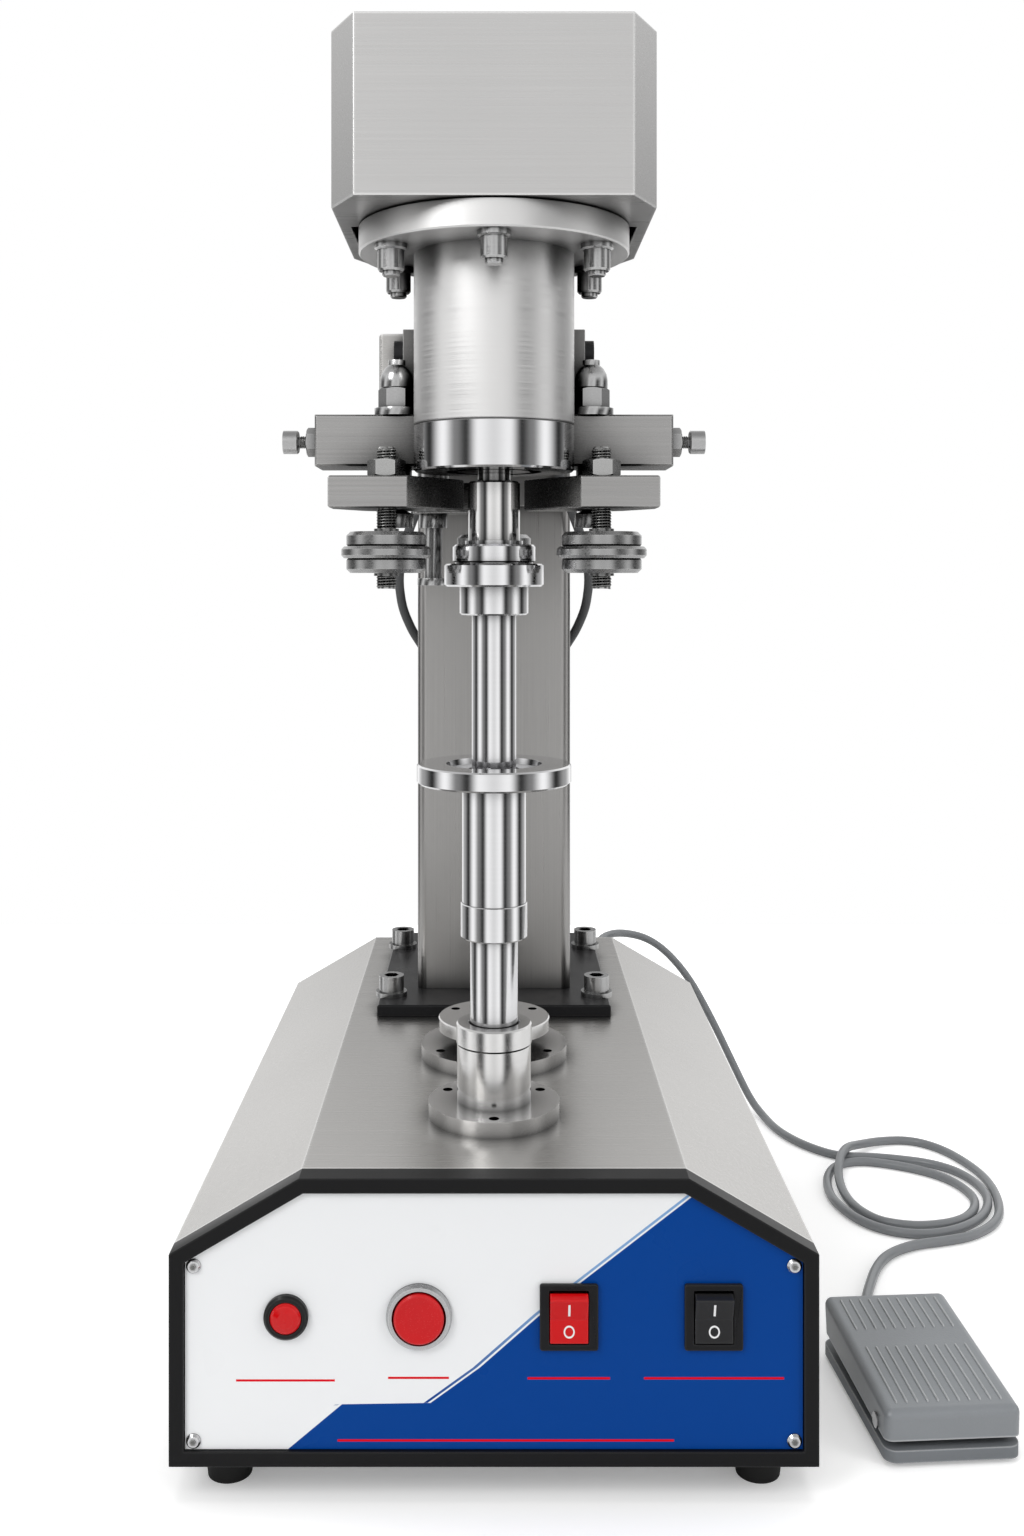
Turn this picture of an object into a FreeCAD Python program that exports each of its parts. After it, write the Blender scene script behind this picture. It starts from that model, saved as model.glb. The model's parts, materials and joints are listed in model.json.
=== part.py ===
"""Bench can seamer: parametric FreeCAD model, millimetres, +Z up, front towards -Y.

The origin lies on the bench plane, at the centre of the four rubber feet.
"""
import FreeCAD, Part

import math
import os
import re

import Sketcher

Vector = FreeCAD.Vector
doc = FreeCAD.newDocument("can_seamer")
sheet = doc.addObject("Spreadsheet::Sheet", "Sizes")

# Driving dimensions, in millimetres and degrees
driving = dict(
    # Base box
    base_width=300, base_length=456, top_width=180,
    foot_height=17, shoulder_height=115, base_height=150,
    sheet_thick=1.5, bottom_thick=2, rear_thick=2,
    frame_depth=12, frame_edge=7, frame_ledge=16,
    panel_thick=2, panel_recess=2, fit_gap=0.3, turn_gap=0.05,
    foot_radius=12.5, foot_tip_radius=10.5, foot_inset_x=24, foot_inset_y=26,
    foot_recess_radius=4, foot_recess_depth=8, foot_stem_radius=5.5,
    panel_screw_radius=3.4, panel_screw_inset=11.2,
    # Controls on the panel
    control_height=85.8, lamp_offset=96, start_offset=34.6, mode_offset=101.4,
    lamp_bezel_radius=10.3, lamp_barrel_radius=7.6, lamp_lens_radius=7.2,
    start_bezel_radius=15.2, start_barrel_radius=13, start_cap_radius=11.6,
    start_travel=3, control_depth=24, control_proud=3,
    switch_width=27, switch_tall=30.5, rocker_width=17.6, rocker_radius=12,
    switch_wall=3.5, rocker_tilt=9,
    # Inlet and cord gland at the rear
    inlet_offset=95, inlet_height=60, inlet_width=28, inlet_tall=48, inlet_depth=24,
    gland_offset=80, gland_height=134, gland_radius=7, gland_length=26, cord_radius=3,
    # Lift
    axis_setback=82, lift_flange_radius=33.75, lift_flange_thick=8,
    boss_radius=19, boss_height=48, boss_cap_height=10, lift_shaft_radius=12.35,
    lift_shaft_top=259, lift_shaft_foot=62, collar_radius=17.2, collar_bottom=241.7, collar_height=18,
    sleeve_radius=16.5, plate_radius=39.7, plate_thick=10, plate_top=331,
    plate_recess_radius=24, plate_recess_depth=3, lift_bore_radius=11.7,
    lift_travel=45, flange_hole_radius=2.6, flange_hole_ring=28,
    guide_setback=177, guide_flange_radius=42, guide_disc_radius=32, guide_disc_bottom=166,
    guide_disc_thick=7, guide_hub_radius=20, guide_hole_ring=35, guide_disc_ring=26,
    # Rack drive of the lift
    pinion_radius=12, pinion_module=1.5, pinion_width=12, pinion_shaft_radius=4,
    gearbox_start=14, gearbox_half=19, gearbox_long=30, lift_motor_long=48,
    # Column
    column_front=289, column_width=100, column_deep=80, column_wall=4, column_top=592, column_corner=6,
    plate_width=147, plate_front=252, plate_length=190, plate_height=7,
    column_bolt_x=66, column_bolt_front=49, column_bolt_rear=172, column_bolt_radius=5,
    # Head
    housing_radius=41.3, housing_bottom=481, ring_height=24, housing_top=592,
    motor_flange_radius=69.5, motor_flange_thick=14, flange_bolt_ring=59,
    cover_width=158, cover_length=170, cover_height=86, cover_chamfer=13, cover_thick=1.5, cover_shift=14,
    motor_radius=50, motor_height=78,
    arm_width=98, arm_bottom=512, arm_top=560, arm_neck_width=84, arm_front=34, arm_foot_thick=10,
    bearing_radius=24.6, bearing_width=14,
    box_deep=14, box_long=34, box_high=48, box_y=66,
    bar_half=94, bar_bottom=485, bar_front=12, bar_deep=36,
    stud_x=51.5, stud_y=22, stud_radius=5,
    adjuster_head_radius=6.2, adjuster_reach=18,
    # Spindle, chuck and rod
    spindle_radius=8.5, spindle_flange_radius=18.6, chuck_sleeve_radius=13.4,
    sleeve_top=476, sleeve_bottom=445.5, chuck_ring_radius=21.4, chuck_ring_bottom=434.5,
    chuck_disc_radius=25.7, chuck_disc_bottom=422, chuck_hub_radius=17.8, chuck_hub_bottom=407.5,
    rod_radius=11.5, rod_engagement=16,
    # Roller arms
    swing_arm_bottom=462, swing_arm_thick=16.4, roller_x=55, roller_y=6,
    roller_radius=23, roller_tier_radius=20.4, roller_height=21, roller_bottom=429,
    roller_ridge=6, roller_stud_radius=4.6, roller_bore_gap=0.06, arm_swing=8, stud_nut_across=17,
    rear_roller_y=58, rear_pivot_x=34, rear_pivot_y=70,
    # Pedal
    pedal_x=217.5, pedal_y=-146, pedal_turn=4, pedal_width=67, pedal_length=106,
    pedal_foot=2.5, pedal_base_thick=6, pedal_front_height=27, pedal_rear_height=34, pedal_wall=3,
    pedal_relief=10, pedal_relief_height=6.5, pedal_relief_radius=4.5,
    coil_x=289, coil_y=126, coil_long=85, coil_wide=60, coil_height=12.8,
    coil_hole_back=-22, coil_hole_long=43, coil_hole_wide=38,
    pedal_pin_inset=14, pedal_pin_height=16, pedal_pin_radius=2, pedal_swing=3,
)
for row, (alias, number) in enumerate(driving.items(), start=1):
    sheet.set(f"A{row}", alias)
    sheet.set(f"B{row}", str(number))
    sheet.setAlias(f"B{row}", alias)
doc.recompute()


def bind(text):
    """Turns the sheet's aliases in an expression into references to the sheet."""
    return re.sub(r"[a-z_]+", lambda word: "Sizes." + word.group() if word.group() in driving else word.group(),
                  text)


def value(text):
    """Works an expression out as a plain number."""
    found = sheet.evalExpression(bind(text))
    return float(getattr(found, "Value", found))


# Places that several pieces share
axis_y = "(axis_setback - base_length / 2)"
guide_y = "(guide_setback - base_length / 2)"
column_y = "(column_front - base_length / 2)"
plate_y = "(plate_front - base_length / 2)"
front_y = "(-base_length / 2)"
panel_y = "(-base_length / 2 + panel_recess)"
slope = "atan((base_height - shoulder_height) / ((base_width - top_width) / 2))"
parts_made = []


def part_body(name):
    """A new PartDesign body that becomes the node of the same name."""
    body = doc.addObject("PartDesign::Body", name)
    body.Label = name
    parts_made.append(body)
    return body


def helper_body(name):
    """A body that is only a tool or a member of a group."""
    body = doc.addObject("PartDesign::Body", name)
    body.Label = name
    return body


def origin_feature(body, role):
    return next(feature for feature in body.Origin.OriginFeatures if feature.Role == role)


def sketch_on(body, role="XY_Plane", lift="0"):
    """A sketch on one of the body's own origin planes, moved along its normal."""
    sketch = body.newObject("Sketcher::SketchObject", body.Name + "_outline")
    sketch.AttachmentSupport = [(origin_feature(body, role), "")]
    sketch.MapMode = "FlatFace"
    if lift != "0":
        sketch.setExpression("AttachmentOffset.Base.z", bind(lift))
    return sketch


def pin_point(sketch, geometry, end, x, y):
    """Holds a point of the sketch at two expressions."""
    for kind, text, axis in (("DistanceX", x, -2), ("DistanceY", y, -1)):
        if text == "0":
            sketch.addConstraint(Sketcher.Constraint("PointOnObject", geometry, end, axis))
        else:
            index = sketch.addConstraint(Sketcher.Constraint(kind, -1, 1, geometry, end, value(text)))
            sketch.setExpression(f"Constraints[{index}]", bind(text))


def polygon(sketch, points):
    """A closed outline through points given as pairs of expressions."""
    first = sketch.GeometryCount
    corners = [Vector(value(x), value(y), 0) for x, y in points]
    for index, corner in enumerate(corners):
        sketch.addGeometry(Part.LineSegment(corner, corners[(index + 1) % len(corners)]), False)
    for index, (x, y) in enumerate(points):
        after = first + (index + 1) % len(points)
        sketch.addConstraint(Sketcher.Constraint("Coincident", first + index, 2, after, 1))
        pin_point(sketch, first + index, 1, x, y)


def rectangle(sketch, x, y, width, height):
    """A rectangle given by its centre and its sizes."""
    low_x, high_x = f"({x}) - ({width}) / 2", f"({x}) + ({width}) / 2"
    low_y, high_y = f"({y}) - ({height}) / 2", f"({y}) + ({height}) / 2"
    polygon(sketch, [(low_x, low_y), (high_x, low_y), (high_x, high_y), (low_x, high_y)])


def circle(sketch, x, y, radius):
    index = sketch.addGeometry(Part.Circle(Vector(value(x), value(y), 0), Vector(0, 0, 1), value(radius)), False)
    bound = sketch.addConstraint(Sketcher.Constraint("Radius", index, value(radius)))
    sketch.setExpression(f"Constraints[{bound}]", bind(radius))
    pin_point(sketch, index, 3, x, y)


def hexagon(sketch, x, y, across):
    """A hexagon with two flats along X, given across its flats."""
    far, near, half = f"({across}) * 0.57735", f"({across}) * 0.288675", f"({across}) / 2"
    polygon(sketch, [(f"({x}) + {far}", y), (f"({x}) + {near}", f"({y}) + {half}"),
                     (f"({x}) - {near}", f"({y}) + {half}"), (f"({x}) - {far}", y),
                     (f"({x}) - {near}", f"({y}) - {half}"), (f"({x}) + {near}", f"({y}) - {half}")])


def pad(body, sketch, length, reverse=False):
    feature = body.newObject("PartDesign::Pad", body.Name + "_pad")
    feature.Profile = sketch
    feature.setExpression("Length", bind(length))
    feature.Reversed = reverse
    doc.recompute()
    return feature


def pocket(body, sketch, length=None, reverse=False):
    """A cut to a depth, or through everything both ways where none is given."""
    before = body.Shape.Volume
    feature = body.newObject("PartDesign::Pocket", body.Name + "_pocket")
    feature.Profile = sketch
    feature.Reversed = reverse
    if length is None:
        feature.Type = "ThroughAll"
        feature.SideType = "Symmetric"
    else:
        feature.setExpression("Length", bind(length))
    doc.recompute()
    if body.Shape.Volume > before - 1e-6:
        raise ValueError(f"a pocket of {body.Label} cuts nothing")
    return feature


def revolve(body, points):
    """A full turn about the body's own Z of a profile of (radius, height) pairs."""
    sketch = sketch_on(body, "XZ_Plane")
    polygon(sketch, points)
    feature = body.newObject("PartDesign::Revolution", body.Name + "_turned")
    feature.Profile = sketch
    feature.ReferenceAxis = (sketch, ["V_Axis"])
    doc.recompute()
    return feature


def ring(body, inner, outer, bottom, top):
    return revolve(body, [(inner, bottom), (outer, bottom), (outer, top), (inner, top)])


def polar(body, feature, count):
    """Repeats a feature around the body's own Z axis."""
    pattern = body.newObject("PartDesign::PolarPattern", body.Name + "_pattern")
    pattern.Originals = [feature]
    pattern.Axis = (origin_feature(body, "Z_Axis"), [""])
    pattern.Angle = 360
    pattern.Occurrences = count
    body.Tip = pattern
    doc.recompute()
    return pattern


def soften(body, size, chosen, kind="Chamfer"):
    tip = body.Tip
    names = [f"Edge{n}" for n, edge in enumerate(tip.Shape.Edges, start=1) if chosen(edge)]
    feature = body.newObject("PartDesign::" + kind, body.Name + "_" + kind.lower())
    feature.Base = (tip, names)
    feature.setExpression("Radius" if kind == "Fillet" else "Size", bind(size))
    doc.recompute()
    return feature


def rim(radius, height=None):
    """Picks whole circles of a radius, at one height where it is given."""
    def chosen(edge):
        if not isinstance(edge.Curve, Part.Circle) or abs(edge.Curve.Radius - value(radius)) > 1e-4:
            return False
        return height is None or abs(edge.CenterOfMass.z - value(height)) < 1e-4
    return chosen


def upright(edge):
    """Picks straight edges that run along Z."""
    return isinstance(edge.Curve, Part.Line) and abs(abs(edge.Curve.Direction.z) - 1) < 1e-6


def place(thing, x="0", y="0", z="0", turn=None):
    """Puts a sub-part at three expressions, turned about an axis where one is given."""
    if turn:
        axis, angle = turn
        thing.Placement = FreeCAD.Placement(Vector(0, 0, 0), FreeCAD.Rotation(Vector(*axis), angle))
    for letter, text in zip("xyz", (x, y, z)):
        if text != "0":
            thing.setExpression(f"Placement.Base.{letter}", bind(text))
    return thing


def group(name, member, places, turn=None):
    """One node of several copies of a member, each at three expressions."""
    links = []
    for number, (x, y, z) in enumerate(places, start=1):
        link = doc.addObject("App::Link", f"{name}_{number}")
        link.LinkedObject = member
        place(link, x, y, z, turn(number - 1) if turn else None)
        links.append(link)
    joined = doc.addObject("Part::Compound", name)
    joined.Label = name
    joined.Links = links
    parts_made.append(joined)
    return joined


def bolt_member(name, radius, shank, head_radius, head_height, washer_radius="0", washer_thick="0"):
    """A socket head cap screw standing on z = 0 with its washer, its shank pointing down."""
    body = helper_body(name)
    top = f"({washer_thick}) + ({head_height})"
    profile = [("0", f"-({shank})"), (radius, f"-({shank})"), (radius, "0")]
    if washer_thick != "0":
        profile += [(washer_radius, "0"), (washer_radius, washer_thick)]
    profile += [(head_radius, washer_thick), (head_radius, top), ("0", top)]
    revolve(body, profile)
    socket = sketch_on(body, "XY_Plane", top)
    hexagon(socket, "0", "0", f"({head_radius}) * 1.05")
    pocket(body, socket, f"({head_height}) * 0.55")
    return body


def base_outline(inset):
    """The front outline of the base, offset inwards, as (x, z) pairs."""
    side = f"(base_width / 2 - ({inset}))"
    shoulder = f"(shoulder_height - ({inset}) * tan((90 deg - {slope}) / 2))"
    corner = f"(top_width / 2 - ({inset}) * tan({slope} / 2))"
    top = f"(base_height - ({inset}))"
    bottom = f"(foot_height + ({inset}))"
    return [(f"-{side}", bottom), (side, bottom), (side, shoulder), (corner, top),
            (f"-{corner}", top), (f"-{side}", shoulder)]


# Base box
def make_base_shell():
    """Folded sheet cover: an octagon's upper half, open in front, behind and below."""
    body = part_body("base_shell")
    sketch = sketch_on(body, "XZ_Plane", f"-({front_y}) - frame_depth")
    polygon(sketch, base_outline("0"))
    block = pad(body, sketch, "base_length - frame_depth - rear_thick", reverse=True)
    box = block.Shape.BoundBox
    open_faces = []
    for number, face in enumerate(block.Shape.Faces, start=1):
        centre = face.CenterOfMass
        ends = (centre.y - box.YMin, centre.y - box.YMax, centre.z - box.ZMin)
        if min(abs(end) for end in ends) < 1e-6:
            open_faces.append(f"Face{number}")
    shell = body.newObject("PartDesign::Thickness", "base_shell_wall")
    shell.Base = (block, open_faces)
    shell.setExpression("Value", bind("sheet_thick"))
    shell.Reversed = True
    shell.Join = "Intersection"
    doc.recompute()
    holes = sketch_on(body, "XY_Plane", "base_height")
    circle(holes, "0", axis_y, "boss_radius + fit_gap")
    circle(holes, "0", guide_y, "guide_hub_radius - 4")
    for x in ("column_bolt_x", "-column_bolt_x"):
        for y in ("column_bolt_front", "column_bolt_rear"):
            circle(holes, x, f"{plate_y} + {y} - 26", "column_bolt_radius + fit_gap")
    pocket(body, holes, "sheet_thick + 2")


def make_front_frame():
    """Black frame round the panel, with a ledge behind that the panel lies on."""
    body = part_body("front_frame")
    edge = sketch_on(body, "XZ_Plane", f"-({front_y})")
    polygon(edge, base_outline("0"))
    polygon(edge, base_outline("frame_edge"))
    pad(body, edge, "frame_depth", reverse=True)
    ledge = sketch_on(body, "XZ_Plane", f"-({front_y}) - panel_recess - panel_thick")
    polygon(ledge, base_outline("frame_edge - 1"))
    polygon(ledge, base_outline("frame_ledge"))
    pad(body, ledge, "frame_depth - panel_recess - panel_thick", reverse=True)


def make_front_panel():
    """Control panel with a hole for each control and each corner screw."""
    body = part_body("front_panel")
    sketch = sketch_on(body, "XZ_Plane", f"-({panel_y})")
    polygon(sketch, base_outline("frame_edge + fit_gap"))
    circle(sketch, "-lamp_offset", "control_height", "lamp_barrel_radius + fit_gap")
    circle(sketch, "-start_offset", "control_height", "start_barrel_radius + fit_gap")
    for x in ("start_offset", "mode_offset"):
        rectangle(sketch, x, "control_height", "switch_width - 4", "switch_tall - 4")
    for x, z in panel_screw_places():
        circle(sketch, x, z, "panel_screw_radius * 0.55")
    pad(body, sketch, "panel_thick", reverse=True)


def panel_screw_places():
    side = "(base_width / 2 - panel_screw_inset)"
    low, high = "(foot_height + panel_screw_inset)", "(shoulder_height - 6)"
    return [(f"-{side}", low), (side, low), (side, high), (f"-{side}", high)]


def make_panel_screws():
    """Button head screws, their axes along Y, heads outwards."""
    member = helper_body("panel_screw")
    revolve(member, [("0", "-panel_thick"), ("panel_screw_radius * 0.5", "-panel_thick"),
                     ("panel_screw_radius * 0.5", "0"), ("panel_screw_radius", "0"),
                     ("panel_screw_radius", "0.6"), ("panel_screw_radius * 0.72", "1.6"), ("0", "1.9")])
    spots = [(x, panel_y, z) for x, z in panel_screw_places()]
    group("panel_screws", member, spots, lambda number: ((1, 0, 0), 90))


def make_rear_panel():
    """Plain rear plate with the inlet's opening, the gland's hole and cooling slots."""
    body = part_body("rear_panel")
    sketch = sketch_on(body, "XZ_Plane", "-(base_length / 2) + rear_thick")
    polygon(sketch, base_outline("0"))
    rectangle(sketch, "-inlet_offset", "inlet_height", "inlet_width - 4", "inlet_tall - 12")
    circle(sketch, "gland_offset", "gland_height", "gland_radius - 1.5")
    pad(body, sketch, "rear_thick", reverse=True)
    slot = sketch_on(body, "XZ_Plane", "-(base_length / 2) + rear_thick")
    rectangle(slot, "0", "base_height / 2 - 24", "90", "4")
    cut = pocket(body, slot)
    rows = body.newObject("PartDesign::LinearPattern", "rear_slots")
    rows.Originals = [cut]
    rows.Direction = (origin_feature(body, "Z_Axis"), [""])
    rows.Length = 50
    rows.Occurrences = 6
    body.Tip = rows
    doc.recompute()


def make_bottom_plate():
    body = part_body("bottom_plate")
    sketch = sketch_on(body, "XY_Plane", "foot_height")
    inside = "base_width - 2 * sheet_thick - 2 * fit_gap"
    long_way = "base_length - frame_depth - rear_thick - 2 * fit_gap"
    rectangle(sketch, "0", "(frame_depth - rear_thick) / 2", inside, long_way)
    for x, y in foot_places():
        circle(sketch, x, y, "foot_stem_radius")
    pad(body, sketch, "bottom_thick")


def foot_places():
    x, y = "(base_width / 2 - foot_inset_x)", "(base_length / 2 - foot_inset_y)"
    return [(f"-{x}", f"-{y}"), (x, f"-{y}"), (x, y), (f"-{x}", y)]


def make_feet():
    """Tapered rubber feet pushed into the bottom plate, each with a recess below for a locating pin."""
    member = helper_body("foot")
    plate_top = "(foot_height + bottom_thick)"
    revolve(member, [("0", "foot_recess_depth"), ("foot_recess_radius", "foot_recess_depth"),
                     ("foot_recess_radius", "0"), ("foot_tip_radius", "0"), ("foot_radius", "foot_height"),
                     ("foot_stem_radius", "foot_height"), ("foot_stem_radius", plate_top),
                     ("foot_stem_radius + 0.8", f"{plate_top} + 1"), ("foot_stem_radius - 1", f"{plate_top} + 4"),
                     ("0", f"{plate_top} + 4")])
    group("feet", member, [(x, y, "0") for x, y in foot_places()])


# Controls: each is turned or padded along its own Z and laid with Z towards the viewer
facing = ((1, 0, 0), 90)


def make_lamp():
    bezel = part_body("lamp_bezel")
    revolve(bezel, [("lamp_lens_radius", "-control_depth"), ("lamp_barrel_radius", "-control_depth"),
                    ("lamp_barrel_radius", "0"), ("lamp_bezel_radius", "0"), ("lamp_bezel_radius", "2"),
                    ("lamp_bezel_radius - 1", "control_proud"), ("lamp_lens_radius + 0.4", "control_proud"),
                    ("lamp_lens_radius", "control_proud - 0.6")])
    place(bezel, "-lamp_offset", panel_y, "control_height", facing)
    lens = part_body("lamp_lens")
    revolve(lens, [("0", "-6"), ("lamp_lens_radius - 0.05", "-6"), ("lamp_lens_radius - 0.05", "control_proud"),
                   ("lamp_lens_radius - 1", "control_proud + 1.3"),
                   ("lamp_lens_radius * 0.5", "control_proud + 2.2"), ("0", "control_proud + 2.5")])
    place(lens, "-lamp_offset", panel_y, "control_height", facing)


def make_start_button():
    bezel = part_body("start_bezel")
    revolve(bezel, [("start_cap_radius + 0.25", "-control_depth"), ("start_barrel_radius", "-control_depth"),
                    ("start_barrel_radius", "0"), ("start_bezel_radius", "0"), ("start_bezel_radius", "1.4"),
                    ("start_bezel_radius - 1", "control_proud"),
                    ("start_cap_radius + 1", "control_proud"), ("start_cap_radius + 0.25", "control_proud - 0.8")])
    place(bezel, "-start_offset", panel_y, "control_height", facing)
    cap = part_body("start_button")
    low = "-(control_depth - start_travel - 6)"
    revolve(cap, [("0", low), ("start_cap_radius", low), ("start_cap_radius", "control_proud + 0.6"),
                  ("start_cap_radius - 0.7", "control_proud + 1.3"), ("start_cap_radius * 0.6", "control_proud + 0.9"),
                  ("0", "control_proud + 0.7")])
    place(cap, "-start_offset", panel_y, "control_height", facing)


def make_switch_frames():
    """Snap-in frames of the two rocker switches."""
    frame = helper_body("switch_frame")
    front = sketch_on(frame, "XY_Plane", "0")
    rectangle(front, "0", "0", "switch_width", "switch_tall")
    pad(frame, front, "2")
    body = sketch_on(frame, "XY_Plane", "0")
    rectangle(body, "0", "0", "switch_width - 4.4", "switch_tall - 4.4")
    pad(frame, body, "control_depth", reverse=True)
    soften(frame, "1.2", lambda edge: upright(edge) and edge.CenterOfMass.z > 0, "Fillet")
    well = sketch_on(frame, "XY_Plane", "2")
    rectangle(well, "0", "0", "rocker_width + 2 * fit_gap", "2 * rocker_radius + 2 * fit_gap")
    pocket(frame, well, "16")
    group("switch_frames", frame, [("start_offset", panel_y, "control_height"),
                                   ("mode_offset", panel_y, "control_height")], lambda number: facing)


def make_rocker(name, x):
    """Rocker with a shallow V front, hinged across its middle, its lower half pressed in."""
    rocker = part_body(name)
    side = sketch_on(rocker, "YZ_Plane", "-rocker_width / 2")
    reach, low = "rocker_radius", "-10"
    polygon(side, [("-rocker_radius * 0.5", low), ("rocker_radius * 0.5", low),
                   (f"{reach} * 0.97", f"{reach} * 0.05"), (f"{reach} * 0.9", f"{reach} * 0.4"),
                   ("0", f"{reach} * 0.24"), (f"-{reach} * 0.9", f"{reach} * 0.4"),
                   (f"-{reach} * 0.97", f"{reach} * 0.05")])
    pad(rocker, side, "rocker_width")
    place(rocker, x, panel_y, "control_height", ((1, 0, 0), 90 + value("rocker_tilt")))


def make_rear_fittings():
    inlet = part_body("power_inlet")
    flange = sketch_on(inlet, "XY_Plane", "0")
    rectangle(flange, "0", "0", "inlet_width + 8", "inlet_tall")
    pad(inlet, flange, "3")
    body = sketch_on(inlet, "XY_Plane", "0")
    rectangle(body, "0", "0", "inlet_width - 5", "inlet_tall - 13")
    pad(inlet, body, "inlet_depth", reverse=True)
    soften(inlet, "2", upright, "Fillet")
    well = sketch_on(inlet, "XY_Plane", "3")
    polygon(well, [("-11.5", "-8"), ("11.5", "-8"), ("11.5", "4.5"), ("8", "8"), ("-8", "8"), ("-11.5", "4.5")])
    pocket(inlet, well, "17")
    pins = sketch_on(inlet, "XY_Plane", "-14")
    for x, y in (("-7", "-1"), ("7", "-1"), ("0", "3")):
        rectangle(pins, x, y, "2", "4")
    pad(inlet, pins, "13")
    place(inlet, "-inlet_offset", "base_length / 2", "inlet_height", ((1, 0, 0), -90))
    gland = part_body("cord_gland")
    bore = "cord_radius"
    revolve(gland, [(bore, "-rear_thick - 6"), ("gland_radius + 1", "-rear_thick - 6"),
                    ("gland_radius + 1", "-rear_thick"), ("gland_radius - 1.5", "-rear_thick"),
                    ("gland_radius - 1.5", "0"), ("gland_radius + 1", "0"), ("gland_radius + 1", "3"),
                    ("gland_radius - 1", "5"), (f"{bore} + 1.4", "gland_length"), (bore, "gland_length")])
    place(gland, "gland_offset", "base_length / 2", "gland_height", ((1, 0, 0), -90))


# Lift
def make_lift_flange():
    """Flanged bushing that guides the lift shaft through the cover."""
    body = part_body("lift_bushing")
    revolve(body, [("lift_shaft_radius + turn_gap", "-11"), ("boss_radius", "-11"), ("boss_radius", "0"),
                   ("lift_flange_radius", "0"), ("lift_flange_radius", "lift_flange_thick"),
                   ("boss_radius", "lift_flange_thick"), ("boss_radius", "boss_height - boss_cap_height - 1"),
                   ("boss_radius - 0.8", "boss_height - boss_cap_height - 0.5"),
                   ("boss_radius + 0.4", "boss_height - boss_cap_height"), ("boss_radius + 0.4", "boss_height - 0.8"),
                   ("boss_radius - 0.4", "boss_height"), ("lift_shaft_radius + 1", "boss_height"),
                   ("lift_shaft_radius + turn_gap", "boss_height - 1")])
    hole = sketch_on(body, "XY_Plane", "0")
    circle(hole, "0", "-flange_hole_ring", "flange_hole_radius")
    first = pocket(body, hole)
    polar(body, first, 3)
    place(body, "0", axis_y, "base_height")


def make_guide_flange():
    """Stepped flange behind the lift, a disc over a larger disc, that closes the guide bore."""
    body = part_body("guide_flange")
    low, high = "(guide_disc_bottom - base_height)", "(guide_disc_bottom - base_height + guide_disc_thick)"
    revolve(body, [("0", "-6"), ("guide_hub_radius - 4.3", "-6"), ("guide_hub_radius - 4.3", "0"),
                   ("guide_flange_radius", "0"), ("guide_flange_radius", "lift_flange_thick"),
                   ("guide_hub_radius", "lift_flange_thick"), ("guide_hub_radius", low), ("guide_disc_radius", low),
                   ("guide_disc_radius", f"{high} - 0.6"), ("guide_disc_radius - 0.6", high), ("0", high)])
    lower = sketch_on(body, "XY_Plane", "lift_flange_thick + 1")
    circle(lower, "0", "guide_hole_ring", "flange_hole_radius")
    polar(body, pocket(body, lower, "lift_flange_thick + 2"), 3)
    upper = sketch_on(body, "XY_Plane", high)
    circle(upper, "0", "-guide_disc_ring", "flange_hole_radius")
    polar(body, pocket(body, upper, "guide_disc_thick"), 3)
    place(body, "0", guide_y, "base_height")


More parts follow.
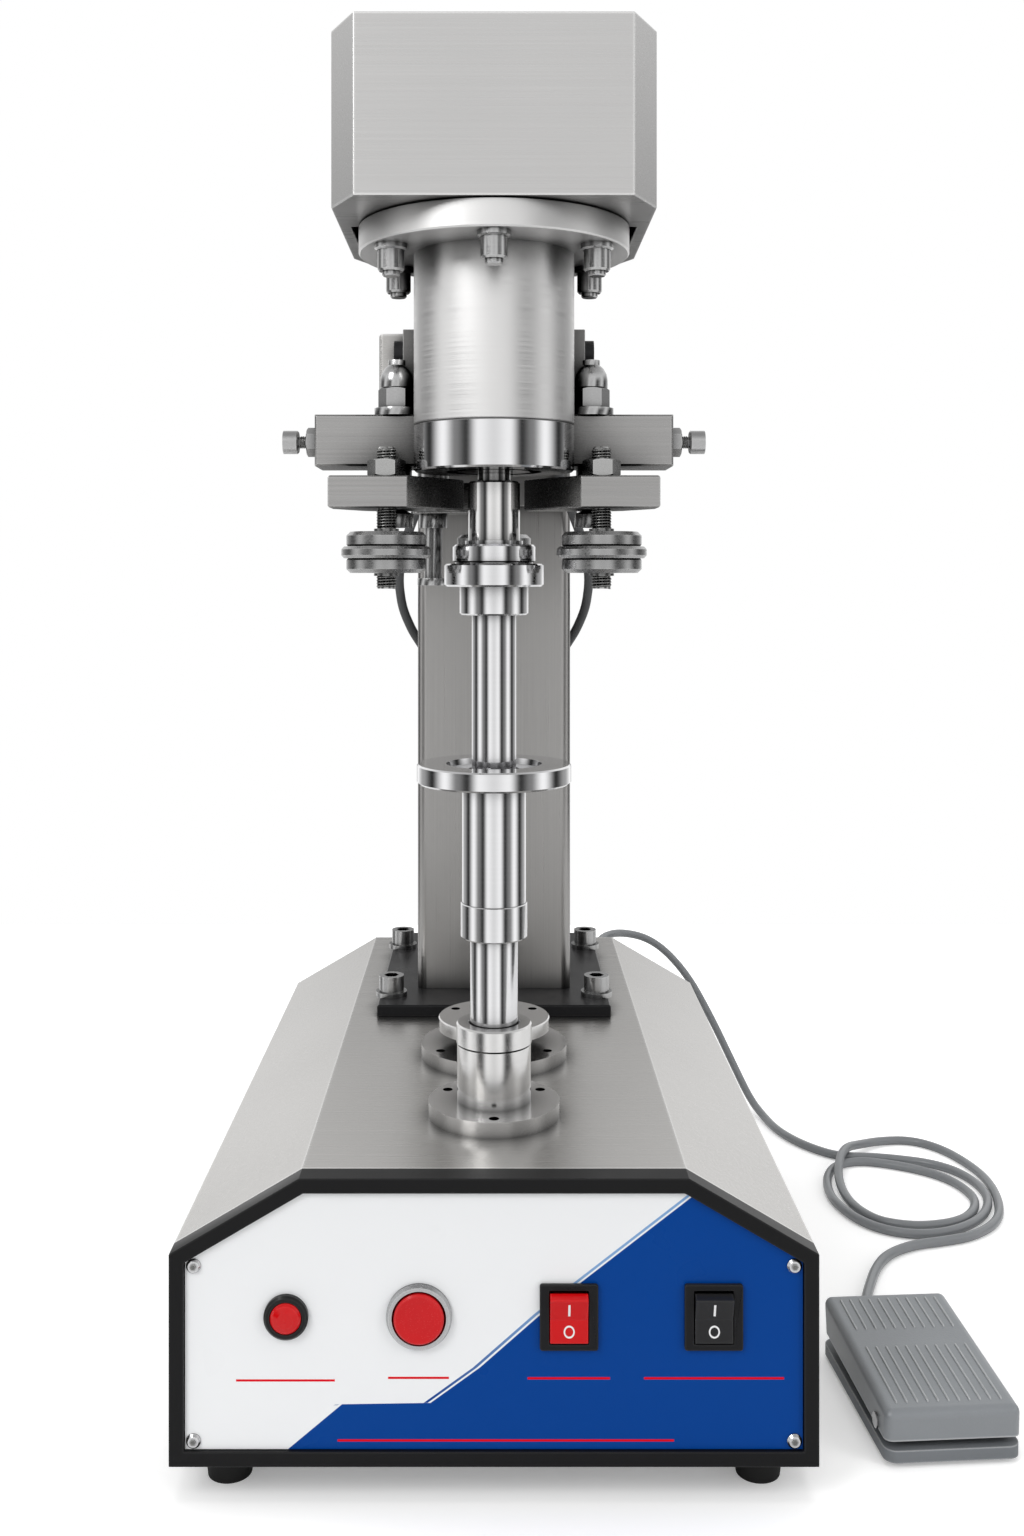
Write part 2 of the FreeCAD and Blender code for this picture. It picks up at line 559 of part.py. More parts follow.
def make_lift():
    """Lift shaft with its rack, collar and sleeve, and the can plate that turns on it."""
    shaft = part_body("lift_shaft")
    bottom, top = "lift_shaft_foot", "lift_shaft_top"
    revolve(shaft, [("0", bottom), ("lift_shaft_radius", bottom), ("lift_shaft_radius", top), ("0", top)])
    soften(shaft, "1", rim("lift_shaft_radius", bottom))
    pitch = "(pinion_module * pi)"
    teeth = sketch_on(shaft, "YZ_Plane", "-lift_shaft_radius")
    root = "(lift_shaft_radius - 2.25 * pinion_module)"
    middle = "(lift_shaft_foot + 4)"
    deep_half = "(pinion_module * (pi * 0.265 - 1.25 * tan(20)))"
    wide_half = "(pinion_module * (pi * 0.265 + tan(20)) + tan(20))"
    polygon(teeth, [("lift_shaft_radius + 1", f"{middle} - {wide_half}"), (root, f"{middle} - {deep_half}"),
                    (root, f"{middle} + {deep_half}"), ("lift_shaft_radius + 1", f"{middle} + {wide_half}")])
    first = pocket(shaft, teeth, "2 * lift_shaft_radius", reverse=True)
    rack = shaft.newObject("PartDesign::LinearPattern", "rack_teeth")
    rack.Originals = [first]
    rack.Direction = (origin_feature(shaft, "Z_Axis"), [""])
    rack.Occurrences = 14
    rack.setExpression("Length", bind(f"{pitch} * 13"))
    shaft.Tip = rack
    doc.recompute()
    well = sketch_on(shaft, "XY_Plane", top)
    circle(well, "0", "0", "lift_bore_radius - 2")
    pocket(shaft, well, "4")
    place(shaft, "0", axis_y)
    collar = part_body("lift_collar")
    revolve(collar, [("lift_shaft_radius + turn_gap", "0"), ("collar_radius - 0.8", "0"), ("collar_radius", "0.8"),
                     ("collar_radius", "collar_height - 0.4"), ("collar_radius - 0.4", "collar_height"),
                     ("sleeve_radius + turn_gap", "collar_height"), ("sleeve_radius + turn_gap", "collar_height - 3"),
                     ("lift_shaft_radius + turn_gap", "collar_height - 3")])
    place(collar, "0", axis_y, "collar_bottom")
    sleeve = part_body("lift_sleeve")
    under = "(plate_top - plate_thick)"
    floor = "(collar_bottom + collar_height - 3)"
    revolve(sleeve, [("0", "lift_shaft_top"), ("lift_shaft_radius", "lift_shaft_top"), ("lift_shaft_radius", floor),
                     ("sleeve_radius", floor), ("sleeve_radius", under), ("lift_bore_radius + 1.5", under),
                     ("lift_bore_radius + 1.5", f"{under} + plate_thick - plate_recess_depth - 1"),
                     ("lift_bore_radius", f"{under} + plate_thick - plate_recess_depth - 1"),
                     ("lift_bore_radius", "lift_shaft_top + 3"), ("0", "lift_shaft_top + 3")])
    place(sleeve, "0", axis_y)
    plate = part_body("can_plate")
    bore = "(lift_bore_radius + 1.5 + turn_gap)"
    revolve(plate, [(bore, "0"), ("plate_radius - 1", "0"), ("plate_radius", "1"),
                    ("plate_radius", "plate_thick - 0.8"), ("plate_radius - 0.8", "plate_thick"),
                    ("plate_recess_radius + 0.6", "plate_thick"),
                    ("plate_recess_radius", "plate_thick - plate_recess_depth"),
                    (bore, "plate_thick - plate_recess_depth")])
    place(plate, "0", axis_y, under)


def make_lift_drive():
    """Geared motor hung from the cover, whose pinion drives the rack on the lift shaft."""
    pinion = part_body("lift_pinion")
    root, tip = "(pinion_radius - 1.25 * pinion_module)", "(pinion_radius + pinion_module)"
    revolve(pinion, [("0", "-pinion_width / 2"), (root, "-pinion_width / 2"), (root, "pinion_width / 2"),
                     ("pinion_shaft_radius", "pinion_width / 2"), ("pinion_shaft_radius", "gearbox_start + 13"),
                     ("0", "gearbox_start + 13")])
    tooth = sketch_on(pinion, "XY_Plane", "-pinion_width / 2")
    half = "(pinion_module * pi / 4)"
    polygon(tooth, [(f"{root} - 0.6", f"-{half} * 1.1"), (f"{root} - 0.6", f"{half} * 1.1"),
                    ("pinion_radius", f"{half} * 0.8"), (tip, f"{half} * 0.4"), (tip, f"-{half} * 0.4"),
                    ("pinion_radius", f"-{half} * 0.8")])
    polar(pinion, pad(pinion, tooth, "pinion_width"), 16)
    mesh_y = f"{axis_y} + lift_shaft_radius - pinion_module + pinion_radius + 0.25"
    mesh_z = "lift_shaft_foot + 4 + 11 * pi * pinion_module"
    place(pinion, "0", mesh_y, mesh_z, ((0, 1, 0), 90))
    motor = part_body("lift_motor")
    gearbox = sketch_on(motor, "XY_Plane", "gearbox_start")
    rectangle(gearbox, "0", "0", "2 * gearbox_half", "2 * gearbox_half")
    pad(motor, gearbox, "gearbox_long")
    can = sketch_on(motor, "XY_Plane", "gearbox_start + gearbox_long")
    circle(can, "0", "0", "gearbox_half * 0.85")
    pad(motor, can, "lift_motor_long")
    foot = sketch_on(motor, "XY_Plane", "gearbox_start + 8")
    reach = "(base_height - sheet_thick - fit_gap - (lift_shaft_foot + 4 + 11 * pi * pinion_module))"
    rectangle(foot, f"-{reach} / 2", "0", reach, "2 * gearbox_half - 6")
    pad(motor, foot, "gearbox_long - 8")
    bore = sketch_on(motor, "XY_Plane", "gearbox_start")
    circle(bore, "0", "0", "pinion_shaft_radius + turn_gap")
    pocket(motor, bore, "14", reverse=True)
    place(motor, "0", mesh_y, mesh_z, ((0, 1, 0), 90))


# Column
def make_column():
    plate = part_body("column_plate")
    sketch = sketch_on(plate, "XY_Plane", "0")
    rectangle(sketch, "0", "plate_length / 2", "plate_width", "plate_length")
    for x, y in column_bolt_spots():
        circle(sketch, x, y, "column_bolt_radius + fit_gap")
    pad(plate, sketch, "plate_height")
    soften(plate, "0.8", lambda edge: abs(edge.CenterOfMass.z - value("plate_height")) < 1e-6
           and isinstance(edge.Curve, Part.Line))
    place(plate, "0", plate_y, "base_height")
    tube = part_body("column")
    sketch = sketch_on(tube, "XY_Plane", "0")
    rectangle(sketch, "0", "column_deep / 2", "column_width", "column_deep")
    pad(tube, sketch, "column_top - base_height - plate_height")
    soften(tube, "column_corner", upright, "Fillet")
    inside = sketch_on(tube, "XY_Plane", "0")
    rectangle(inside, "0", "column_deep / 2", "column_width - 2 * column_wall", "column_deep - 2 * column_wall")
    pocket(tube, inside, "column_top - base_height - plate_height - column_wall", reverse=True)
    place(tube, "0", column_y, "base_height + plate_height")
    bolt = bolt_member("column_bolt", "column_bolt_radius", "plate_height + 20", "8", "10", "10", "3")
    spots = [(x, f"{plate_y} + {y}", "base_height + plate_height") for x, y in column_bolt_spots()]
    group("column_bolts", bolt, spots)


def column_bolt_spots():
    return [(x, y) for x in ("-column_bolt_x", "column_bolt_x")
            for y in ("(column_bolt_front - 26)", "(column_bolt_rear - 26)")]


# Head
def make_head():
    housing = part_body("spindle_housing")
    wall, seat = "(housing_radius - 9)", "bearing_radius"
    revolve(housing, [(wall, "housing_bottom + ring_height"), ("housing_radius - 0.6", "housing_bottom + ring_height"),
                      ("housing_radius", "housing_bottom + ring_height + 0.6"), ("housing_radius", "housing_top"),
                      (seat, "housing_top"), (seat, "housing_top - bearing_width - 6"),
                      (wall, "housing_top - bearing_width - 14")])
    place(housing, "0", axis_y)
    collar = part_body("housing_ring")
    revolve(collar, [("bearing_radius", "housing_bottom"), ("housing_radius - 1", "housing_bottom"),
                     ("housing_radius", "housing_bottom + 1"),
                     ("housing_radius", "housing_bottom + ring_height - 0.8"),
                     ("housing_radius - 0.8", "housing_bottom + ring_height"),
                     ("bearing_radius", "housing_bottom + ring_height")])
    place(collar, "0", axis_y)
    bearing = helper_body("spindle_bearing")
    ring(bearing, "spindle_radius + turn_gap", "bearing_radius", "0", "bearing_width")
    soften(bearing, "0.8", rim("bearing_radius"))
    group("spindle_bearings", bearing, [("0", axis_y, "housing_bottom + 5"),
                                        ("0", axis_y, "housing_top - bearing_width - 4")])
    flange = part_body("motor_flange")
    ring(flange, "spindle_radius + 4", "motor_flange_radius", "0", "motor_flange_thick")
    hole = sketch_on(flange, "XY_Plane", "0")
    circle(hole, "0", "-flange_bolt_ring", "4.3")
    polar(flange, pocket(flange, hole), 6)
    soften(flange, "0.8", rim("motor_flange_radius"))
    place(flange, "0", axis_y, "housing_top")
    motor = part_body("head_motor")
    base = "(housing_top + motor_flange_thick)"
    revolve(motor, [("0", base), ("motor_radius", base), ("motor_radius", f"{base} + 8"),
                    ("motor_radius - 6", f"{base} + 8"), ("motor_radius - 6", f"{base} + motor_height - 6"),
                    ("motor_radius - 12", f"{base} + motor_height"), ("0", f"{base} + motor_height")])
    place(motor, "0", axis_y)
    bolt = helper_body("flange_bolt")
    revolve(bolt, [("0", "-motor_flange_thick"), ("4", "-motor_flange_thick"), ("4", "0"), ("8.2", "0"),
                   ("8.2", "2.4"), ("7", "3.2"), ("6.6", "3.2"), ("6.6", "12.6"), ("5.8", "13.6"), ("4.4", "13.6"),
                   ("4.4", "15.4"), ("3.8", "16"), ("0", "16")])
    spots = []
    for number in (0, 1, 2, 4, 5):
        angle = f"({number * 60 - 90})"
        spots.append((f"flange_bolt_ring * cos({angle})", f"{axis_y} + flange_bolt_ring * sin({angle})",
                      "housing_top"))
    group("flange_bolts", bolt, spots, lambda number: ((1, 0, 0), 180))


def cover_plan(inset):
    """The motor cover's outline in plan: a rectangle with its corners cut."""
    x = f"(cover_width / 2 - {inset})"
    y = f"(cover_length / 2 - {inset})"
    cut_x = f"(cover_width / 2 - cover_chamfer - {inset} * 0.4142)"
    cut_y = f"(cover_length / 2 - 2 * cover_chamfer - {inset} * 0.4142)"
    return [(f"-{cut_x}", f"-{y}"), (cut_x, f"-{y}"), (x, f"-{cut_y}"), (x, cut_y), (cut_x, y),
            (f"-{cut_x}", y), (f"-{x}", cut_y), (f"-{x}", f"-{cut_y}")]


def make_motor_cover():
    """Folded cover over the motor, with a floor that rests on the flange and a vent slot at each side."""
    body = part_body("motor_cover")
    sketch = sketch_on(body, "XY_Plane", "0")
    polygon(sketch, cover_plan("0"))
    pad(body, sketch, "cover_height")
    hollow = sketch_on(body, "XY_Plane", "0")
    polygon(hollow, cover_plan("cover_thick"))
    pocket(body, hollow, "cover_height - cover_thick", reverse=True)
    floor = sketch_on(body, "XY_Plane", "0")
    polygon(floor, cover_plan("cover_thick / 2"))
    circle(floor, "0", "-cover_shift", "motor_radius + 1.5")
    for x in ("cover_width / 2 - 8", "8 - cover_width / 2"):
        rectangle(floor, x, "10", "4", "60")
    pad(body, floor, "cover_thick")
    place(body, "0", f"{axis_y} + cover_shift", "housing_top + motor_flange_thick")


def make_head_arm():
    """Cast arm from the column to the housing, with its foot against the column."""
    body = part_body("head_arm")
    length = f"({column_y} - {axis_y} - arm_front)"
    wide = sketch_on(body, "XY_Plane", "arm_bottom")
    rectangle(wide, "0", f"arm_front + {length} / 2", "arm_width", length)
    pad(body, wide, "arm_top - arm_bottom")
    neck = sketch_on(body, "XY_Plane", "arm_top")
    rectangle(neck, "0", f"arm_front + {length} / 2", "arm_neck_width", length)
    pad(body, neck, "housing_top - arm_top")
    foot = sketch_on(body, "XY_Plane", "arm_bottom - 40")
    rectangle(foot, "0", f"arm_front + {length} - arm_foot_thick / 2", "column_width - 4", "arm_foot_thick")
    pad(body, foot, "housing_top - arm_bottom + 40")
    saddle = sketch_on(body, "XY_Plane", "arm_bottom - 50")
    circle(saddle, "0", "0", "housing_radius + turn_gap")
    pocket(body, saddle)
    hollow = sketch_on(body, "XY_Plane", "arm_bottom - 1")
    rectangle(hollow, "0", f"arm_front + {length} / 2 + 8", "arm_neck_width - 20", f"{length} - 50")
    pocket(body, hollow, "housing_top - arm_bottom - 9", reverse=True)
    for side in ("", "-"):
        taps = sketch_on(body, "YZ_Plane", f"{side}arm_width / 2")
        for y in arm_screw_spots():
            circle(taps, y, "arm_top - 12", "4")
        pocket(body, taps, "6", reverse=side == "-")
    place(body, "0", axis_y)
    screw = bolt_member("arm_screw", "4", "6", "7", "5")
    spots = [(x, f"{axis_y} + {y}", "arm_top - 12") for x in ("arm_width / 2", "-arm_width / 2")
             for y in arm_screw_spots()]
    group("arm_screws", screw, spots, lambda number: ((0, 1, 0), 90 if number < 2 else -90))


def make_switch_box():
    """Small sheet box of the limit switch, screwed to the arm's left side."""
    body = part_body("switch_box")
    sketch = sketch_on(body, "XY_Plane", "arm_bottom")
    rectangle(sketch, "-arm_width / 2 - box_deep / 2", "box_y", "box_deep", "box_long")
    pad(body, sketch, "box_high")
    soften(body, "2", lambda edge: edge.CenterOfMass.x < -value("arm_width / 2 + box_deep") + 1e-3, "Fillet")
    lever = sketch_on(body, "XY_Plane", "arm_bottom + 6")
    rectangle(lever, "-arm_width / 2 - box_deep / 2", "box_y - box_long / 2 - 4", "5", "10")
    pad(body, lever, "9")
    place(body, "0", axis_y)


def arm_screw_spots():
    return ["(arm_front + 8)", "(arm_front + 64)"]


def make_crossbar():
    """Bar under the arm, notched round the housing, that carries the roller arms' studs."""
    body = part_body("crossbar")
    sketch = sketch_on(body, "XY_Plane", "bar_bottom")
    rectangle(sketch, "0", "bar_front + bar_deep / 2", "2 * bar_half", "bar_deep")
    pad(body, sketch, "arm_bottom - bar_bottom")
    soften(body, "1", lambda edge: isinstance(edge.Curve, Part.Line) and edge.CenterOfMass.y < value("bar_front") + 1)
    notch = sketch_on(body, "XY_Plane", "bar_bottom")
    circle(notch, "0", "0", "housing_radius + turn_gap")
    for x in ("-stud_x", "stud_x"):
        circle(notch, x, "stud_y", "stud_radius + turn_gap")
    pocket(body, notch)
    place(body, "0", axis_y)
    nut = helper_body("pivot_stud")
    top = "(arm_bottom - swing_arm_bottom)"
    under = "(bar_bottom - swing_arm_bottom)"
    revolve(nut, [("0", "-9"), ("9", "-9"), ("9", "-2"), ("stud_radius", "-0.1"),
                  ("stud_radius", "swing_arm_thick + 0.1"), ("8", "swing_arm_thick + 0.1"), ("8", under),
                  ("stud_radius", under), ("stud_radius", top), ("11.8", top), ("11.8", f"{top} + 4"),
                  ("8.2", f"{top} + 4"), ("8.2", f"{top} + 14.5"), ("8.8", f"{top} + 15"), ("8.8", f"{top} + 19"),
                  ("8.2", f"{top} + 22"), ("6.6", f"{top} + 25"), ("4.6", f"{top} + 26.8"),
                  ("4.6", f"{top} + 29.5"), ("0", f"{top} + 29.5")])
    hex_nut(nut, f"{top} + 4", "17", "10.5")
    rear = helper_body("rear_pivot")
    revolve(rear, [("0", "-40"), ("9", "-40"), ("9", "-36"), ("stud_radius", "-36"), ("stud_radius", "-8"),
                   ("8", "-8"), ("8", "-0.1"), ("stud_radius", "-0.1"), ("stud_radius", "swing_arm_thick + 0.1"),
                   ("9", "swing_arm_thick + 0.1"), ("9", top), ("0", top)])
    group("pivot_studs", nut, [("-stud_x", f"{axis_y} + stud_y", "swing_arm_bottom"),
                               ("stud_x", f"{axis_y} + stud_y", "swing_arm_bottom")])
    place(rear, "-rear_pivot_x", f"{axis_y} + rear_pivot_y", "swing_arm_bottom")
    parts_made[-1].Links = parts_made[-1].Links + [rear]
    adjuster = helper_body("adjuster")
    reach = "adjuster_reach"
    revolve(adjuster, [("0", "0"), ("3", "0"), ("3", f"{reach} - 8"),
                       ("adjuster_head_radius - 0.6", f"{reach} - 8"), ("adjuster_head_radius", f"{reach} - 7.4"),
                       ("adjuster_head_radius", reach), ("0", reach)])
    hex_nut(adjuster, "0", "13.5", "5.5")
    group("adjusters", adjuster, [("bar_half", f"{axis_y} + bar_front + 14", "(arm_bottom + bar_bottom) / 2"),
                                  ("-bar_half", f"{axis_y} + bar_front + 14", "(arm_bottom + bar_bottom) / 2")],
          lambda number: ((0, 1, 0), 90 if number == 0 else -90))


def make_spindle():
    spindle = part_body("spindle")
    revolve(spindle, [("0", "sleeve_bottom"), ("chuck_sleeve_radius", "sleeve_bottom"),
                      ("chuck_sleeve_radius", "sleeve_top - 1"), ("chuck_sleeve_radius - 1", "sleeve_top"),
                      ("spindle_radius", "sleeve_top"), ("spindle_radius", "housing_bottom"), ("spindle_flange_radius", "housing_bottom"),
                      ("spindle_flange_radius", "housing_bottom + 3.5"), ("spindle_radius", "housing_bottom + 4"),
                      ("spindle_radius", "housing_top - 4"), ("0", "housing_top - 4")])
    place(spindle, "0", axis_y)
    chuck = part_body("seaming_chuck")
    inner = "(rod_radius + turn_gap)"
    revolve(chuck, [(inner, "chuck_hub_bottom"), ("chuck_hub_radius - 0.8", "chuck_hub_bottom"),
                    ("chuck_hub_radius", "chuck_hub_bottom + 0.8"), ("chuck_hub_radius", "chuck_disc_bottom"),
                    ("chuck_disc_radius - 1", "chuck_disc_bottom"), ("chuck_disc_radius", "chuck_disc_bottom + 1"),
                    ("chuck_disc_radius", "chuck_ring_bottom - 1.6"), ("chuck_disc_radius - 0.8", "chuck_ring_bottom - 0.8"),
                    ("chuck_ring_radius - 1.2", "chuck_ring_bottom - 0.8"),
                    ("chuck_ring_radius - 1.2", "chuck_ring_bottom"), ("chuck_ring_radius", "chuck_ring_bottom + 0.6"),
                    ("chuck_ring_radius", "sleeve_bottom - 3"), ("chuck_ring_radius - 0.8", "sleeve_bottom - 2"),
                    ("15", "sleeve_bottom - 2"), ("15", "sleeve_bottom"), (inner, "sleeve_bottom")])
    place(chuck, "0", axis_y)
    rod = part_body("centring_rod")
    top, low = "(sleeve_bottom - 6)", "(plate_top - rod_engagement)"
    revolve(rod, [("0", low), ("rod_radius - 1", low), ("rod_radius", f"{low} + 1"), ("rod_radius", top),
                  ("0", top)])
    place(rod, "0", axis_y)


def make_roller_arm(name, side):
    """Cranked roller arm in plan: stud lug in front, round eye at the pivot, tail behind."""
    body = part_body(name + "_arm")
    sketch = sketch_on(body, "XY_Plane", "swing_arm_bottom")
    s = "-" if side < 0 else ""
    outline = [("roller_x + 29", "-16"), ("roller_x + 29", "2"), ("stud_x + 18", "stud_y + 6"),
               ("stud_x + 8", "stud_y + 13"), ("stud_x - 14", "stud_y + 13"), ("18", "34"), ("16", "24"),
               ("roller_x - 11", "-16")]
    if side > 0:
        outline = outline[::-1]
    polygon(sketch, [(f"{s}({x})", y) for x, y in outline])
    pad(body, sketch, "swing_arm_thick")
    holes = sketch_on(body, "XY_Plane", "swing_arm_bottom")
    circle(holes, f"{s}roller_x", "-roller_y", "roller_stud_radius")
    circle(holes, f"{s}stud_x", "stud_y", "stud_radius + turn_gap")
    pocket(body, holes)
    soften(body, "0.8", lambda edge: isinstance(edge.Curve, Part.Line) and not upright(edge))
    place(body, "0", axis_y)


def hex_nut(body, low, across, height):
    """A nut standing round the body's own Z axis, its corners rounded off at both ends."""
    sketch = sketch_on(body, "XY_Plane", low)
    hexagon(sketch, "0", "0", across)
    pad(body, sketch, height)
    tool = body.newObject("PartDesign::Groove", body.Name + "_corners")
    profile = sketch_on(body, "XZ_Plane")
    far, near, high = f"({across}) * 0.57735 + 1", f"({across}) * 0.5", f"({low}) + ({height})"
    for tip, way in ((low, "+"), (high, "-")):
        polygon(profile, [(near, tip), (far, tip), (far, f"({tip}) {way} (({far}) - ({near})) * 0.5774")])
    tool.Profile = profile
    tool.ReferenceAxis = (profile, ["V_Axis"])
    tool.Angle = 360
    doc.recompute()


def make_roller_set(name, x, y, nut_above):
    """Roller stud with its lock nut above or below the arm, and the roller that turns on it."""
    stud = part_body(name + "_stud")
    top = "(swing_arm_bottom + swing_arm_thick)"
    thread = "roller_stud_radius"
    high = "(roller_bottom + roller_height)"
    profile = [("0", "roller_bottom - 8"), (thread, "roller_bottom - 8"), (thread, "roller_bottom - 1.5"),
               ("6.4", "roller_bottom - 1.5"), ("6.4", "roller_bottom - 0.1"), (thread, "roller_bottom - 0.1"),
               (thread, f"{high} + 0.1"), ("6.4", f"{high} + 0.1"), ("6.4", f"{high} + 1.6"),
               (thread, f"{high} + 1.6")]
    if nut_above:
        profile += [(thread, f"{top} + 14"), (f"{thread} - 0.8", f"{top} + 15"), ("0", f"{top} + 15")]
    else:
        profile += [(thread, top), ("0", top)]
    revolve(stud, profile)
    hex_nut(stud, top if nut_above else "swing_arm_bottom - 7", "stud_nut_across", "8.5" if nut_above else "7")
    place(stud, x, f"{axis_y} + ({y})")
    roller = part_body(name + "_roller")
    tier, wide = "roller_tier_radius", "roller_radius"
    low_edge, high_edge = "((roller_height - roller_ridge) / 2)", "((roller_height + roller_ridge) / 2)"
    bore = "(roller_stud_radius + roller_bore_gap)"
    revolve(roller, [(bore, "0"), (f"{tier} - 2", "0"), (tier, "2"), (tier, f"{low_edge} - 1"),
                     (f"{tier} - 0.8", low_edge), (f"{wide} - 1.4", low_edge),
                     (wide, f"{low_edge} + roller_ridge / 4"), (wide, f"{high_edge} - roller_ridge / 4"),
                     (f"{wide} - 1.4", high_edge), (f"{tier} - 0.8", high_edge), (tier, f"{high_edge} + 1"),
                     (tier, "roller_height - 2"), (f"{tier} - 2", "roller_height"), (bore, "roller_height")])
    place(roller, x, f"{axis_y} + ({y})", "roller_bottom")


def make_rear_arm():
    """Arm of the rear roller, from its pivot at the side to the roller behind the chuck."""
    body = part_body("rear_arm")
    sketch = sketch_on(body, "XY_Plane", "swing_arm_bottom")
    polygon(sketch, [("11", "rear_roller_y - 10"), ("11", "rear_roller_y + 11"),
                     ("-rear_pivot_x + 6", "rear_pivot_y + 13"), ("-rear_pivot_x - 11", "rear_pivot_y + 13"),
                     ("-rear_pivot_x - 11", "rear_pivot_y - 10"), ("-10", "rear_roller_y - 10")])
    pad(body, sketch, "swing_arm_thick")
    soften(body, "4", upright, "Fillet")
    holes = sketch_on(body, "XY_Plane", "swing_arm_bottom")
    circle(holes, "0", "rear_roller_y", "roller_stud_radius")
    circle(holes, "-rear_pivot_x", "rear_pivot_y", "stud_radius + turn_gap")
    pocket(body, holes)
    place(body, "0", axis_y)


# Pedal, in its own frame: +Y towards its rear, origin at the middle of its footprint on the floor
def make_pedal():
    base = part_body("pedal_base")
    sketch = sketch_on(base, "XY_Plane", "pedal_foot")
    rectangle(sketch, "0", "0", "pedal_width", "pedal_length")
    pad(base, sketch, "pedal_base_thick")
    soften(base, "6", upright, "Fillet")
    feet = sketch_on(base, "XY_Plane", "pedal_foot")
    for x in ("(pedal_width / 2 - 9)", "-(pedal_width / 2 - 9)"):
        for y in ("(pedal_length / 2 - 9)", "-(pedal_length / 2 - 9)"):
            circle(feet, x, y, "5")
    pad(base, feet, "pedal_foot", reverse=True)
    front = "(pedal_pin_inset - pedal_length / 2)"
    relief = sketch_on(base, "XZ_Plane", "-pedal_length / 2 - pedal_relief")
    circle(relief, "0", "pedal_relief_height", "pedal_relief_radius")
    pad(base, relief, "pedal_relief + 2", reverse=False)
    ears = sketch_on(base, "YZ_Plane", "-pedal_width / 2 + pedal_wall + 1")
    floor = "(pedal_foot + pedal_base_thick)"
    polygon(ears, [(f"{front} - 5", f"{floor} - 1"), (f"{front} + 5", f"{floor} - 1"),
                   (f"{front} + 4", "pedal_pin_height + 4"), (f"{front} - 4", "pedal_pin_height + 4")])
    pad(base, ears, "pedal_width - 2 * pedal_wall - 2")
    gap = sketch_on(base, "XY_Plane", floor)
    rectangle(gap, "0", front, "pedal_width - 2 * pedal_wall - 14", "14")
    pocket(base, gap, "30", reverse=True)
    bore = sketch_on(base, "YZ_Plane", "0")
    circle(bore, front, "pedal_pin_height", "pedal_pin_radius")
    pocket(base, bore)
    tread = part_body("pedal_tread")
    side = sketch_on(tread, "YZ_Plane", "-pedal_width / 2")
    low = "(pedal_foot + pedal_base_thick + 4)"
    polygon(side, [("-pedal_length / 2 + 1", low), ("pedal_length / 2 - 4", f"{low} + 3"),
                   ("pedal_length / 2 - 1", "pedal_rear_height"), ("-pedal_length / 2", "pedal_front_height")])
    pad(tread, side, "pedal_width")
    soften(tread, "4", lambda edge: edge.CenterOfMass.z > value("pedal_pin_height"), "Fillet")
    hollow = sketch_on(tread, "YZ_Plane", "-pedal_width / 2 + pedal_wall")
    polygon(hollow, [("-pedal_length / 2 + pedal_wall + 1", "0"), ("pedal_length / 2 - pedal_wall - 4", "0"),
                     ("pedal_length / 2 - pedal_wall - 2", "pedal_rear_height - pedal_wall"),
                     ("-pedal_length / 2 + pedal_wall", "pedal_front_height - pedal_wall")])
    pocket(tread, hollow, "pedal_width - 2 * pedal_wall", reverse=True)
    bore = sketch_on(tread, "YZ_Plane", "0")
    circle(bore, front, "pedal_pin_height", "pedal_pin_radius + turn_gap")
    pocket(tread, bore)
    pin = part_body("pedal_pin")
    revolve(pin, [("0", "-pedal_width / 2 - 1.2"), ("3.6", "-pedal_width / 2 - 1.2"),
                  ("3.6", "-pedal_width / 2 - 0.1"), ("pedal_pin_radius", "-pedal_width / 2 - 0.1"),
                  ("pedal_pin_radius", "pedal_width / 2 + 0.1"), ("3.6", "pedal_width / 2 + 0.1"),
                  ("3.6", "pedal_width / 2 + 1.2"), ("0", "pedal_width / 2 + 1.2")])
    switch = part_body("pedal_switch")
    box = sketch_on(switch, "XY_Plane", floor)
    rectangle(box, "0", "14", "26", "30")
    pad(switch, box, "14")
    turn = ((0, 0, 1), value("pedal_turn"))
    for thing in (base, tread, switch):
        place(thing, "pedal_x", "pedal_y", "0", turn)
    across = FreeCAD.Rotation(Vector(0, 0, 1), value("pedal_turn")).multiply(
        FreeCAD.Rotation(Vector(0, 1, 0), 90))
    spot = FreeCAD.Rotation(Vector(0, 0, 1), value("pedal_turn")).multVec(Vector(0, value(front), 0))
    pin.Placement = FreeCAD.Placement(Vector(value("pedal_x") + spot.x, value("pedal_y") + spot.y,
                                             value("pedal_pin_height")), across)


# Pedal cord: straight runs joined by tangent arcs, each arc as large as its runs allow
def cord_wire(points, name):
    points = [Vector(*point) for point in points]
    edges, at, radii = [], points[0], []
    for before, corner, after in zip(points, points[1:], points[2:]):
        incoming, outgoing = corner - before, after - corner
        half_turn = incoming.getAngle(outgoing) / 2
        setback = 0.45 * min(incoming.Length, outgoing.Length)
        radius = setback / math.tan(half_turn)
        radii.append(round(radius, 1))
        incoming.normalize()
        outgoing.normalize()
        start, end = corner - incoming * setback, corner + outgoing * setback
        middle_way = (outgoing - incoming).normalize()
        bulge = radius / math.cos(half_turn) - radius
        edges.append(Part.LineSegment(at, start).toShape())
        edges.append(Part.Arc(start, corner + middle_way * bulge, end).toShape())
        at = end
    edges.append(Part.LineSegment(at, points[-1]).toShape())
    print(name, "radii", radii)
    return Part.Wire(edges)


